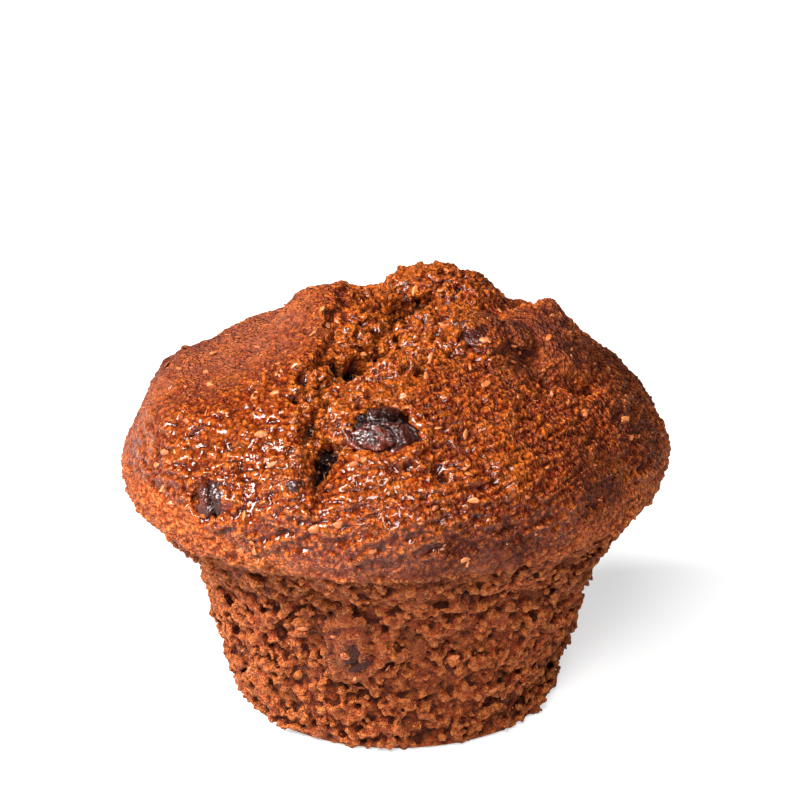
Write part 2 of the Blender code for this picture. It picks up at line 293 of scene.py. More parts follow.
class MuffinColors(bpy.types.PropertyGroup):
    """Colours of the baked dough, the fruit and the bran, and the colours that paint light and shade
    on them.
    """

    crust: color_setting("Crust", "The crown's skin", from_srgb(136, 42, 6))
    # Random paler patches, and painted light on raised grains and ridges
    crust_pale_and_lit: color_setting("Crust, raised", "Grains that stand up from the skin",
                               from_srgb(226, 116, 32))
    # Painted shade in cracks, creases and hollows, and random darker specks
    crust_dark_and_shade: color_setting("Crust, hollows", "Cracks and hollows in the crown",
                              from_srgb(36, 6, 2))
    crumb: color_setting("Crumb", "The cup's open crumb", from_srgb(190, 78, 26))
    # Random paler patches, and painted light on the raised walls between holes
    crumb_pale_and_lit: color_setting("Crumb, raised", "Walls between the crumb's holes",
                               from_srgb(246, 140, 66))
    # Painted shade in the crumb's holes and creases, and random darker specks
    crumb_dark_and_shade: color_setting("Crumb, holes", "The bottoms of the crumb's holes",
                              from_srgb(54, 12, 4))
    bloom: color_setting("Bloom", "Dull purple-brown patches on the dough",
                         from_srgb(66, 24, 15))
    # Painted sheen: a pale pinkish veil on the left, along the rim and high on the right
    painted_sheen: color_setting("Haze", "Pale dull skin on the left and along the edge",
                        from_srgb(168, 96, 70))
    # Painted shade at the bottoms of the deepest holes and raisin folds; on raisins also random dark
    # specks
    darkest_tone_and_shade: color_setting("Darkest", "The bottoms of the deepest holes", from_srgb(30, 8, 5))
    raisin: color_setting("Raisin", "The raisins' dark skin", from_srgb(62, 21, 12))
    # Random warm patches, and painted light on the raisins' raised swollen skin
    raisin_warm_and_lit: color_setting("Raisin, thin", "Thin and swollen skin that lets light in",
                               from_srgb(116, 44, 24))
    bran: color_setting("Bran", "The bran flakes", from_srgb(184, 96, 42))
    bran_pale: color_setting("Bran, pale", "The palest flakes", from_srgb(212, 136, 78))
    floor: color_setting("Floor", "The plain pale floor", (0.60, 0.60, 0.60))


class MuffinSizes(bpy.types.PropertyGroup):
    """Sizes of the muffin's surface relief and the counts of its small pieces."""

    form_step: FloatProperty(name="Form step", description="Mesh step of the large forms, in mm",
                             default=0.7, min=0.3, max=2.0)
    crown_step: FloatProperty(name="Crown step", description="Mesh step of the crown, in mm",
                              default=0.30, min=0.2, max=2.0)
    cup_step: FloatProperty(name="Cup step", description="Mesh step of the cup, in mm",
                            default=0.36, min=0.2, max=2.0)
    burst_relief: FloatProperty(name="Burst relief", description="Height of the torn top, in mm",
                                default=1.3, min=0.0, max=4.0)
    crust_relief: FloatProperty(name="Crust relief", description="Height of the skin's grains, in mm",
                                default=0.55, min=0.0, max=2.0)
    crumb_relief: FloatProperty(name="Crumb relief", description="Depth of the crumb's pores, in mm",
                                default=1.0, min=0.0, max=4.0)
    flake_count: IntProperty(name="Flakes", description="Bran flakes on the muffin",
                             default=900, min=0, max=5000)
    crumb_count: IntProperty(name="Crumbs", description="Small crumbs on the cup",
                             default=1200, min=0, max=5000)


def colors():
    return bpy.context.scene.muffin_colors


def sizes():
    return bpy.context.scene.muffin_sizes


# ---------------------------------------------------------------- fields


def smooth_step(values, low, high):
    """0 below low, 1 above high, and smooth between."""
    share = np.clip((values - low) / (high - low), 0.0, 1.0)
    return share * share * (3.0 - 2.0 * share)


TABLE = 512
_shuffler = np.random.default_rng(7)
SHUFFLE = _shuffler.permutation(TABLE)
SLOPES = _shuffler.normal(size=(TABLE, 3))
SLOPES /= np.linalg.norm(SLOPES, axis=1)[:, None]
SPOTS = _shuffler.uniform(size=(TABLE, 3))


def pick(boxes):
    """A fixed random row of a table for each whole-numbered box of space."""
    x, y, z = (boxes[..., axis] % TABLE for axis in range(3))
    return SHUFFLE[(SHUFFLE[(SHUFFLE[x] + y) % TABLE] + z) % TABLE]


def seeded(points, size, seed):
    """Points measured in one noise size, moved aside so that each seed looks different."""
    return points / size + seed * np.array([1.0, 1.7, -1.3])


def lift(points, size, seed=0.0):
    """Soft noise of one size at each point, about -1 to 1."""
    places = seeded(points, size, seed)
    boxes = np.floor(places).astype(int)
    inside = places - boxes
    ease = inside ** 3 * (inside * (inside * 6.0 - 15.0) + 10.0)
    total = np.zeros(len(points))
    for corner in itertools.product((0, 1), repeat=3):
        corner = np.array(corner)
        slopes = SLOPES[pick(boxes + corner)]
        weights = np.prod(np.where(corner, ease, 1.0 - ease), axis=1)
        total += weights * ((inside - corner) * slopes).sum(axis=1)
    return total * 1.7


def rough(points, size, seed=0.0, octaves=4):
    """Noise of several sizes at each point, about -1 to 1."""
    total = np.zeros(len(points))
    for octave in range(octaves):
        total += 0.55 ** octave * lift(points, size * 0.48 ** octave, seed + octave * 3.1)
    return total


def cells(points, size, seed=0.0):
    """Distance to the nearest of scattered points, and a random share for each cell."""
    places = seeded(points, size, seed)
    boxes = np.floor(places).astype(int)
    nearest = np.full(len(points), 9.0)
    chance = np.zeros(len(points))
    for step in itertools.product((-1, 0, 1), repeat=3):
        other = boxes + np.array(step)
        rows = pick(other)
        away = np.linalg.norm(other + SPOTS[rows] - places, axis=1)
        closer = away < nearest
        chance = np.where(closer, rows / TABLE, chance)
        nearest = np.where(closer, away, nearest)
    return nearest, chance


def warped(points, size, amount, seed=0.0):
    """The points, each moved a little to one side, so that patterns lose their regularity."""
    moved = np.stack([lift(points, size, seed + axis * 11.3) for axis in range(3)], axis=1)
    return points + amount * moved


def line_distance(points, start, end):
    """Distance of each point from a line segment, and how far along it the nearest place is."""
    start, end = np.array(start, float), np.array(end, float)
    run = end - start
    along = np.clip((points - start) @ run / (run @ run), 0.0, 1.0)
    return np.linalg.norm(points - start - along[:, None] * run, axis=1), along


def burst_share(points):
    """1 in the torn top, 0 on whole crust."""
    share = np.zeros(len(points))
    flat = points[:, :2]
    for first, last in zip(BURST[:-1], BURST[1:]):
        away, along = line_distance(flat, first[:2], last[:2])
        width = first[2] + (last[2] - first[2]) * along
        share = np.maximum(share, 1.0 - smooth_step(away / width, 0.72, 1.0))
    return share * smooth_step(points[:, 2], 46.0, 52.0)


def lip_height(points):
    """Height of the crown's edge at each point."""
    return LIP_HEIGHT + LIP_SLOPE * points[:, 0]


def dig(points, normals, holes, widen=1.0, deepen=1.0):
    """How far each point is pushed in by the given holes."""
    push = np.zeros_like(points)
    for start, end, radius, depth in holes:
        away, _ = line_distance(points, start, end)
        near = away < radius * widen * 1.8
        if not near.any():
            continue
        wobble = 1.0 + 0.35 * lift(points[near], radius * 0.9, seed=depth)
        share = np.clip(1.0 - (away[near] / (radius * widen * wobble)) ** 2, 0.0, 1.0)
        inward = -normals[near].mean(axis=0)
        inward /= np.linalg.norm(inward)
        push[near] += (share ** 1.2 * depth * deepen)[:, None] * inward
    return push


# ---------------------------------------------------------------- mesh tools


def read_points(mesh):
    """A mesh's vertices and their normals."""
    points = np.empty(len(mesh.vertices) * 3, np.float32)
    normals = np.empty(len(mesh.vertices) * 3, np.float32)
    mesh.vertices.foreach_get("co", points)
    mesh.vertex_normals.foreach_get("vector", normals)
    return points.reshape(-1, 3).astype(float), normals.reshape(-1, 3).astype(float)


def write_points(mesh, points):
    """Puts vertices back into a mesh."""
    mesh.vertices.foreach_set("co", points.astype(np.float32).ravel())
    mesh.update()


def evaluated(mesh, build):
    """The mesh after the modifiers that build adds to it."""
    holder = bpy.data.objects.new("work", mesh)
    bpy.context.scene.collection.objects.link(holder)
    build(holder)
    done = bpy.data.meshes.new_from_object(
        holder.evaluated_get(bpy.context.evaluated_depsgraph_get()))
    bpy.data.objects.remove(holder)
    bpy.data.meshes.remove(mesh)
    return done


def even_mesh(mesh, step):
    """Even faces around the same shape, with whatever overlaps made one."""
    def build(holder):
        remesh = holder.modifiers.new("Even", "REMESH")
        remesh.mode = "VOXEL"
        remesh.voxel_size = step
        remesh.adaptivity = 0.0
    return evaluated(mesh, build)


def soften(mesh, rounds):
    """Smooths facets away."""
    def build(holder):
        smooth = holder.modifiers.new("Soften", "SMOOTH")
        smooth.factor = 0.5
        smooth.iterations = rounds
    return evaluated(mesh, build)


def keep_largest(mesh):
    """Deletes every loose shell except the largest."""
    shape = bmesh.new()
    shape.from_mesh(mesh)
    left = set(shape.verts)
    shells = []
    while left:
        front = [left.pop()]
        shell = list(front)
        while front:
            vert = front.pop()
            for edge in vert.link_edges:
                other = edge.other_vert(vert)
                if other in left:
                    left.remove(other)
                    front.append(other)
                    shell.append(other)
        shells.append(shell)
    shells.sort(key=len)
    for shell in shells[:-1]:
        bmesh.ops.delete(shape, geom=shell, context="VERTS")
    shape.to_mesh(mesh)
    shape.free()
    return mesh


def to_mesh(shape, name):
    """A mesh from a bmesh, which is freed."""
    mesh = bpy.data.meshes.new(name)
    shape.to_mesh(mesh)
    shape.free()
    return mesh


def set_attribute(mesh, name, values):
    """Stores one number for each vertex."""
    layer = mesh.attributes.new(name, "FLOAT", "POINT")
    layer.data.foreach_set("value", values.astype(np.float32))


def finish_piece(name, mesh, material, nodes=()):
    """A finished piece in metres, riding on the body."""
    mesh.transform(Matrix.Scale(MM, 4))
    mesh.shade_smooth()
    mesh.materials.clear()
    mesh.materials.append(material)
    mesh.name = name
    piece = bpy.data.objects.new(name, mesh)
    bpy.context.scene.collection.objects.link(piece)
    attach(piece, BODY)
    if nodes:
        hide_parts(*nodes)
    mesh.calc_loop_triangles()
    print(name, len(mesh.loop_triangles), "triangles")
    return piece


# ---------------------------------------------------------------- node helpers


def new_node(tree, kind, **settings):
    """Adds a node. Names that the node doesn't have as settings are its inputs."""
    node = tree.nodes.new(kind)
    for key, value in settings.items():
        if hasattr(node, key):
            setattr(node, key, value)
        else:
            node.inputs[key.replace("_", " ")].default_value = value
    return node


def mix_colors(tree, share, first, second):
    """A colour mix; each of share, first and second is a socket or a value."""
    node = tree.nodes.new("ShaderNodeMix")
    node.data_type = "RGBA"
    for socket, value in ((node.inputs[0], share), (node.inputs[6], first),
                          (node.inputs[7], second)):
        plug(tree, socket, value)
    return node.outputs[2]


def plug(tree, socket, value):
    """Links a socket to another one, or sets it to a value."""
    if isinstance(value, bpy.types.NodeSocket):
        tree.links.new(value, socket)
    elif hasattr(value, "__len__") and len(value) == 3 and len(socket.default_value) == 4:
        socket.default_value = (*value, 1.0)
    else:
        socket.default_value = value


def maths(tree, operation, first, second):
    """One arithmetic node."""
    node = tree.nodes.new("ShaderNodeMath")
    node.operation = operation
    plug(tree, node.inputs[0], first)
    plug(tree, node.inputs[1], second)
    return node.outputs[0]


def mix_values(tree, share, first, second):
    """A number between two others."""
    node = tree.nodes.new("ShaderNodeMix")
    for socket, value in zip(node.inputs[:1] + node.inputs[2:4], (share, first, second)):
        plug(tree, socket, value)
    return node.outputs[0]


def remap(tree, value, low, high, to_low=0.0, to_high=1.0):
    """A value moved from one range to another, smoothly and clamped."""
    node = tree.nodes.new("ShaderNodeMapRange")
    node.interpolation_type = "SMOOTHSTEP"
    plug(tree, node.inputs["Value"], value)
    for name, setting in (("From Min", low), ("From Max", high),
                          ("To Min", to_low), ("To Max", to_high)):
        plug(tree, node.inputs[name], setting)
    return node.outputs["Result"]


def new_group(name, inputs, outputs):
    """A shader node group with the given sockets."""
    group = bpy.data.node_groups.new(name, "ShaderNodeTree")
    for label, kind, default in inputs:
        socket = group.interface.new_socket(name=label, in_out="INPUT", socket_type=kind)
        if default is not None:
            socket.default_value = default
    for label, kind in outputs:
        group.interface.new_socket(name=label, in_out="OUTPUT", socket_type=kind)
    return group, group.nodes.new("NodeGroupInput"), group.nodes.new("NodeGroupOutput")


def grain_group():
    """Fine relief of baked dough: domed grains of two sizes with creases between them. The creases
    share is used to paint shade in the creases.
    """
    group, ins, outs = new_group(
        "baked_grain",
        (("Vector", "NodeSocketVector", None), ("Grains per mm", "NodeSocketFloat", 2.2),
         ("Fine share", "NodeSocketFloat", 0.5), ("Small share", "NodeSocketFloat", 0.5)),
        (("Height", "NodeSocketFloat"), ("Creases", "NodeSocketFloat"),
         ("Tint", "NodeSocketFloat")))
    warp = new_node(group, "ShaderNodeTexNoise", Scale=1.1, Detail=3.0)
    group.links.new(ins.outputs["Vector"], warp.inputs["Vector"])
    pulled = new_node(group, "ShaderNodeVectorMath", operation="MULTIPLY_ADD")
    group.links.new(warp.outputs["Color"], pulled.inputs[0])
    pulled.inputs[1].default_value = (0.9, 0.9, 0.9)
    group.links.new(ins.outputs["Vector"], pulled.inputs[2])
    domes = []
    for scale in (1.0, 2.3):
        spots = new_node(group, "ShaderNodeTexVoronoi", feature="F1")
        group.links.new(pulled.outputs[0], spots.inputs["Vector"])
        per_mm = maths(group, "MULTIPLY", ins.outputs["Grains per mm"], scale)
        group.links.new(per_mm, spots.inputs["Scale"])
        away = spots.outputs["Distance"]
        domes.append((maths(group, "MULTIPLY", away, away), spots))
    fine = new_node(group, "ShaderNodeTexNoise", Detail=3.0)
    group.links.new(pulled.outputs[0], fine.inputs["Vector"])
    doubled = maths(group, "MULTIPLY", ins.outputs["Grains per mm"], 1.3)
    group.links.new(doubled, fine.inputs["Scale"])
    large = maths(group, "SUBTRACT", 1.0, domes[0][0])
    small = maths(group, "MULTIPLY", domes[1][0], ins.outputs["Small share"])
    height = maths(group, "SUBTRACT", large, small)
    rest = maths(group, "MULTIPLY", fine.outputs["Fac"], ins.outputs["Fine share"])
    height = maths(group, "ADD", height, rest)
    group.links.new(height, outs.inputs["Height"])
    # Creases share: used by the materials as painted shade between the grains
    group.links.new(remap(group, domes[0][0], 0.20, 0.55), outs.inputs["Creases"])
    chances = new_node(group, "ShaderNodeSeparateColor")
    group.links.new(domes[0][1].outputs["Color"], chances.inputs[0])
    group.links.new(chances.outputs[0], outs.inputs["Tint"])
    return group


def browning_and_shade_group():
    """Three colours: a browned tone in soft random patches, painted light on raised places, and
    painted shade in creases, pits and hollows.
    """
    group, ins, outs = new_group(
        "browning_and_shade",
        (("Vector", "NodeSocketVector", None), ("Base", "NodeSocketColor", (0.5, 0.2, 0.1, 1.0)),
         ("Raised", "NodeSocketColor", (0.6, 0.3, 0.1, 1.0)),
         ("Hollow", "NodeSocketColor", (0.1, 0.03, 0.01, 1.0)),
         ("Patch per mm", "NodeSocketFloat", 0.12), ("Ridge", "NodeSocketFloat", 0.0),
         ("Pit", "NodeSocketFloat", 0.0), ("Creases", "NodeSocketFloat", 0.0),
         ("Tint", "NodeSocketFloat", 0.0), ("Crease depth", "NodeSocketFloat", 0.5),
         ("Unevenness", "NodeSocketFloat", 0.5)),
        (("Color", "NodeSocketColor"), ("Patches", "NodeSocketFloat")))
    patches = new_node(group, "ShaderNodeTexNoise", Detail=5.0, Roughness=0.62)
    group.links.new(ins.outputs["Vector"], patches.inputs["Vector"])
    group.links.new(ins.outputs["Patch per mm"], patches.inputs["Scale"])
    small = new_node(group, "ShaderNodeTexNoise", Detail=3.0, Roughness=0.6)
    group.links.new(ins.outputs["Vector"], small.inputs["Vector"])
    group.links.new(maths(group, "MULTIPLY", ins.outputs["Patch per mm"], 7.0),
                    small.inputs["Scale"])
    # Random paler patches and cells, and painted light on raised places, take the raised colour
    light = remap(group, patches.outputs["Fac"], 0.48, 0.68)
    light = maths(group, "MULTIPLY", light, ins.outputs["Unevenness"])
    light = maths(group, "MAXIMUM", light, maths(group, "MULTIPLY", ins.outputs["Ridge"], 0.8))
    tint = remap(group, ins.outputs["Tint"], 0.55, 0.95)
    light = maths(group, "MAXIMUM", light, maths(group, "MULTIPLY", tint, 0.8))
    color = mix_colors(group, light, ins.outputs["Base"], ins.outputs["Raised"])
    # Random darker specks, and painted shade in creases and pits, take the hollow colour
    dark = remap(group, small.outputs["Fac"], 0.50, 0.30)
    dark = maths(group, "MULTIPLY", dark, ins.outputs["Unevenness"])
    dark = maths(group, "MAXIMUM", dark, maths(group, "MULTIPLY", ins.outputs["Creases"],
                                                     ins.outputs["Crease depth"]))
    dark = maths(group, "MAXIMUM", dark, ins.outputs["Pit"])
    color = mix_colors(group, dark, color, ins.outputs["Hollow"])
    group.links.new(color, outs.inputs["Color"])
    group.links.new(patches.outputs["Fac"], outs.inputs["Patches"])
    return group


GROUPS = {}


def use_group(tree, name, **values):
    """Places a shared group in a material and sets or links its inputs."""
    makers = {"baked_grain": grain_group, "browning_and_shade": browning_and_shade_group}
    if name not in GROUPS:
        GROUPS[name] = makers[name]()
    node = tree.nodes.new("ShaderNodeGroup")
    node.node_tree = GROUPS[name]
    for key, value in values.items():
        plug(tree, node.inputs[key.replace("_", " ")], value)
    return node


def new_material(name):
    """An empty material with a Principled shader, and its position in millimetres."""
    material = bpy.data.materials.new(name)
    material.use_nodes = True
    tree = material.node_tree
    shader = tree.nodes["Principled BSDF"]
    place = tree.nodes.new("ShaderNodeTexCoord")
    scale = tree.nodes.new("ShaderNodeMapping")
    scale.inputs["Scale"].default_value = (1 / MM, 1 / MM, 1 / MM)
    tree.links.new(place.outputs["Object"], scale.inputs["Vector"])
    return material, tree, shader, scale.outputs["Vector"]


def attribute(tree, name):
    """The value stored on the mesh under a name."""
    node = new_node(tree, "ShaderNodeAttribute", attribute_name=name)
    return node.outputs["Fac"]


def bump(tree, shader, height, depth):
    """Relief too fine for the mesh; depth in millimetres."""
    node = new_node(tree, "ShaderNodeBump", Strength=1.0, Distance=depth * MM)
    tree.links.new(height, node.inputs["Height"])
    tree.links.new(node.outputs["Normal"], shader.inputs["Normal"])


def let_light_in(shader, weight, radius):
    """Soft light just under the surface."""
    shader.inputs["Subsurface Weight"].default_value = weight
    shader.inputs["Subsurface Radius"].default_value = radius
    shader.inputs["Subsurface Scale"].default_value = LIGHT_DEPTH * MM


def crust_material():
    """The crown: red-brown skin, sticky and glossy in uneven patches."""
    paint = colors()
    material, tree, shader, place = new_material("glossy_crust")
    grain = use_group(tree, "baked_grain", Vector=place, Grains_per_mm=1.45, Fine_share=0.12,
                      Small_share=0.30)
    # Painted shade: pits below the smooth form and broad hollows darken the colour
    pit_shade = attribute(tree, "pit_shade")
    skin = attribute(tree, "skin")
    hollow_shade = maths(tree, "MULTIPLY", attribute(tree, "hollow_shade"), 0.78)
    deep_shade = maths(tree, "MAXIMUM", pit_shade, hollow_shade)
    # Painted light: raised grains and ridges lighten the colour
    ridge_light_and_tone = attribute(tree, "ridge_light_and_tone")
    brown = use_group(tree, "browning_and_shade", Vector=place, Base=paint.crust[:],
                      Raised=paint.crust_pale_and_lit[:], Hollow=paint.crust_dark_and_shade[:],
                      Patch_per_mm=0.13, Ridge=ridge_light_and_tone, Pit=deep_shade,
                      Creases=grain.outputs["Creases"], Crease_depth=0.55, Unevenness=0.6)
    under = use_group(tree, "browning_and_shade", Vector=place, Base=paint.crumb[:],
                      Raised=paint.crumb_pale_and_lit[:], Hollow=paint.crumb_dark_and_shade[:],
                      Patch_per_mm=0.16, Ridge=ridge_light_and_tone, Pit=deep_shade,
                      Creases=grain.outputs["Creases"], Unevenness=0.6)
    color = mix_colors(tree, skin, under.outputs["Color"], brown.outputs["Color"])
    # Painted sheen: a pale pinkish veil on the left, along the rim and high on the right, standing in
    # for reflected light
    color = mix_colors(tree, attribute(tree, "pale"), color, paint.painted_sheen[:])
    stain = maths(tree, "MULTIPLY", attribute(tree, "stain"), 0.7)
    color = mix_colors(tree, stain, color, paint.bloom[:])
    # Painted shade: the deepest pits take the darkest colour
    color = mix_colors(tree, maths(tree, "POWER", pit_shade, 2.0), color, paint.darkest_tone_and_shade[:])
    tree.links.new(color, shader.inputs["Base Color"])
    wet = attribute(tree, "wet")
    wet = maths(tree, "MULTIPLY", wet, remap(tree, attribute(tree, "stain"), 0.0, 1.0, 1.0, 0.3))
    gloss = new_node(tree, "ShaderNodeTexNoise", Scale=0.45, Detail=3.0)
    tree.links.new(place, gloss.inputs["Vector"])
    dull = remap(tree, gloss.outputs["Fac"], 0.35, 0.65, 0.12, -0.04)
    rough_wet = remap(tree, wet, 0.0, 1.0, 0.50, 0.17)
    tree.links.new(maths(tree, "ADD", rough_wet, dull), shader.inputs["Roughness"])
    shader.inputs["Specular IOR Level"].default_value = 0.2
    tree.links.new(remap(tree, wet, 0.25, 0.95, 0.0, 0.45), shader.inputs["Coat Weight"])
    shader.inputs["Coat Roughness"].default_value = 0.11
    let_light_in(shader, LIGHT_SHARE, DOUGH_RADIUS)
    bump(tree, shader, grain.outputs["Height"], CRUST_BUMP)
    return material


def crumb_material():
    """The cup: open orange-brown crumb, dull, with painted shade in its holes and painted light on
    the walls between.
    """
    paint = colors()
    material, tree, shader, place = new_material("open_crumb")
    grain = use_group(tree, "baked_grain", Vector=place, Grains_per_mm=2.2, Fine_share=0.6,
                      Small_share=0.5)
    # Painted shade: pits and hollows darken the crumb
    pit_shade = attribute(tree, "pit_shade")
    hollow_shade = maths(tree, "MULTIPLY", attribute(tree, "hollow_shade"), 0.85)
    brown = use_group(tree, "browning_and_shade", Vector=place, Base=paint.crumb[:],
                      Raised=paint.crumb_pale_and_lit[:], Hollow=paint.crumb_dark_and_shade[:],
                      Patch_per_mm=0.16, Ridge=attribute(tree, "ridge_light_and_tone"),
                      Pit=maths(tree, "MAXIMUM", pit_shade, hollow_shade),
                      Creases=grain.outputs["Creases"], Unevenness=0.6)
    stain = maths(tree, "MULTIPLY", attribute(tree, "stain"), 0.55)
    color = mix_colors(tree, stain, brown.outputs["Color"], paint.bloom[:])
    # Painted shade: the deepest pits take the darkest colour
    color = mix_colors(tree, maths(tree, "POWER", pit_shade, 2.0), color, paint.darkest_tone_and_shade[:])
    tree.links.new(color, shader.inputs["Base Color"])
    shine = remap(tree, brown.outputs["Patches"], 0.3, 0.7, 0.74, 0.5)
    tree.links.new(shine, shader.inputs["Roughness"])
    shader.inputs["Specular IOR Level"].default_value = 0.3
    let_light_in(shader, LIGHT_SHARE, DOUGH_RADIUS)
    bump(tree, shader, grain.outputs["Height"], CRUMB_BUMP)
    return material


def raisin_material():
    """Raisin skin: nearly black, moist, with painted warm light on its swollen raised places and
    painted shade in its folds.
    """
    paint = colors()
    material, tree, shader, place = new_material("raisin_skin")
    grain = use_group(tree, "baked_grain", Vector=place, Grains_per_mm=1.0, Fine_share=0.25,
                      Small_share=0.4)
    # Painted light on the raised swollen skin, and painted shade in the folds
    ridge_light_and_tone = maths(tree, "MULTIPLY", attribute(tree, "ridge_light_and_tone"), 0.55)
    brown = use_group(tree, "browning_and_shade", Vector=place, Base=paint.raisin[:],
                      Raised=paint.raisin_warm_and_lit[:], Hollow=paint.darkest_tone_and_shade[:],
                      Patch_per_mm=0.16, Ridge=ridge_light_and_tone, Pit=attribute(tree, "pit_shade"),
                      Creases=grain.outputs["Creases"], Crease_depth=0.7, Unevenness=0.8)
    in_crumb = attribute(tree, "dull")
    dull = maths(tree, "MULTIPLY", in_crumb, 0.6)
    color = mix_colors(tree, dull, brown.outputs["Color"], paint.bloom[:])
    tree.links.new(color, shader.inputs["Base Color"])
    shine = remap(tree, brown.outputs["Patches"], 0.35, 0.65, 0.36, 0.14)
    shine = mix_values(tree, in_crumb, shine, 0.62)
    tree.links.new(shine, shader.inputs["Roughness"])
    tree.links.new(remap(tree, in_crumb, 0.0, 1.0, 0.35, 0.0), shader.inputs["Coat Weight"])
    shader.inputs["Coat Roughness"].default_value = 0.1
    shader.inputs["Specular IOR Level"].default_value = 0.25
    let_light_in(shader, 0.1, FRUIT_RADIUS)
    bump(tree, shader, grain.outputs["Height"], RAISIN_BUMP)
    return material


def bran_material():
    """Bran flakes: tan to pale, slightly glossy from the syrup around them."""
    paint = colors()
    material, tree, shader, place = new_material("bran_flake")
    grain = use_group(tree, "baked_grain", Vector=place, Grains_per_mm=2.0, Fine_share=0.3,
                      Small_share=0.4)
    tone = attribute(tree, "tone")
    # Random tone on raised patches; the creases share paints shade between the grains
    brown = use_group(tree, "browning_and_shade", Vector=place, Base=paint.bran[:],
                      Raised=paint.bran_pale[:], Hollow=paint.crust[:],
                      Patch_per_mm=0.4, Ridge=tone, Pit=0.0,
                      Creases=grain.outputs["Creases"], Unevenness=0.5)
    tree.links.new(brown.outputs["Color"], shader.inputs["Base Color"])
    shine = remap(tree, brown.outputs["Patches"], 0.3, 0.7, 0.5, 0.34)
    tree.links.new(shine, shader.inputs["Roughness"])
    bump(tree, shader, grain.outputs["Height"], BRAN_BUMP)
    return material


# ---------------------------------------------------------------- the baked body

HEART = np.array([0.0, 0.0, 40.0])


def base_form():
    """The body's solid, even and smooth, in millimetres."""
    shape = bmesh.new()
    shape.from_mesh(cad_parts["muffin"].data)
    bmesh.ops.scale(shape, vec=(1 / MM, 1 / MM, 1 / MM), verts=shape.verts)
    bmesh.ops.remove_doubles(shape, verts=shape.verts, dist=0.002)
    mesh = even_mesh(to_mesh(shape, "form"), sizes().form_step)
    return soften(mesh, 7)


def tree_of(mesh, scale=1.0):
    """A search tree over a mesh's surface, made larger by the scale."""
    shape = bmesh.new()
    shape.from_mesh(mesh)
    if scale != 1.0:
        bmesh.ops.scale(shape, vec=(scale, scale, scale), verts=shape.verts)
    surface = BVHTree.FromBMesh(shape)
    shape.free()
    return surface


def height_over(surface, points):
    """How far each point stands out from a surface; negative inside."""
    heights = np.empty(len(points))
    for number, p in enumerate(points.tolist()):
        spot = Vector(p)
        hit, normal, _, _ = surface.find_nearest(spot)
        heights[number] = (spot - hit).dot(normal)
    return heights


def plate_step(points):
    """The crust plate on the left, lifted along its torn edge and level again further out."""
    total = np.zeros(len(points))
    flat = points[:, :2] + (1.3 * lift(points, 3.0, 81.0))[:, None] * np.array([1.0, 0.0])
    for first, last in zip(PLATE_EDGE[:-1], PLATE_EDGE[1:]):
        away, _ = line_distance(flat, first, last)
        side = flat[:, 0] - np.interp(flat[:, 1], [last[1], first[1]], [last[0], first[0]])
        onto = np.where(side < 0.0, np.exp(-away / 5.0), -0.7 * np.exp(-away / 2.2))
        near = (flat[:, 1] - last[1]) * (first[1] - flat[:, 1]) >= 0.0
        total = np.where(near, onto, total)
    return total


def shape_form(mesh):
    """Large relief: the torn top, waves in the crust and the cup's uneven wall."""
    points, normals = read_points(mesh)
    burst = burst_share(points)
    above = smooth_step(points[:, 2] - lip_height(points), -1.5, 1.5)
    bent = warped(points, 6.0, 1.6)
    torn = rough(bent, 5.0, 3.0, 3) * sizes().burst_relief
    near, _ = cells(bent, LOBE_SIZE, 5.0)
    torn += sizes().burst_relief * (0.62 - near) * 1.2
    crust = 0.40 * rough(points, 9.0, 8.0, 2) + 0.28 * rough(points, 4.0, 28.0, 2)
    wall = 0.6 * rough(points, 7.0, 11.0, 3)
    on_base = smooth_step(points[:, 2], 0.2, 2.0)
    push = above * (burst * torn + (1.0 - burst) * crust) + (1.0 - above) * wall * on_base
    push += 1.1 * plate_step(points) * above
    points += normals * push[:, None]
    points += dig(points, normals, CROWN_HOLES, 1.35, 0.6)
    write_points(mesh, points)
    return mesh


def half(mesh, above, name):
    """The part of the form above or below the crown's edge, closed by a flat face."""
    shape = bmesh.new()
    shape.from_mesh(mesh)
    away = Vector((-LIP_SLOPE, 0.0, 1.0)).normalized()
    height = LIP_HEIGHT - 0.7 if above else LIP_HEIGHT + 1.2
    geometry = shape.verts[:] + shape.edges[:] + shape.faces[:]
    bmesh.ops.bisect_plane(shape, geom=geometry, plane_co=(0.0, 0.0, height), plane_no=away,
                           clear_inner=above, clear_outer=not above)
    rim = [edge for edge in shape.edges if edge.is_boundary]
    bmesh.ops.holes_fill(shape, edges=rim, sides=0)
    bmesh.ops.triangulate(shape, faces=shape.faces[:])
    bmesh.ops.recalc_face_normals(shape, faces=shape.faces)
    return arrays_of(to_mesh(shape, name))


def arrays_of(mesh):
    """A mesh's vertices and triangles as arrays; the mesh is removed."""
    points, _ = read_points(mesh)
    mesh.calc_loop_triangles()
    faces = np.empty(len(mesh.loop_triangles) * 3, np.int32)
    mesh.loop_triangles.foreach_get("vertices", faces)
    bpy.data.meshes.remove(mesh)
    return points, faces.reshape(-1, 3)


def join(parts, name):
    """One mesh from several pairs of vertices and triangles."""
    points, faces, count = [], [], 0
    for part_points, part_faces in parts:
        points.append(part_points)
        faces.append(part_faces + count)
        count += len(part_points)
    mesh = bpy.data.meshes.new(name)
    mesh.from_pydata(np.concatenate(points), [], np.concatenate(faces))
    mesh.update()
    return mesh


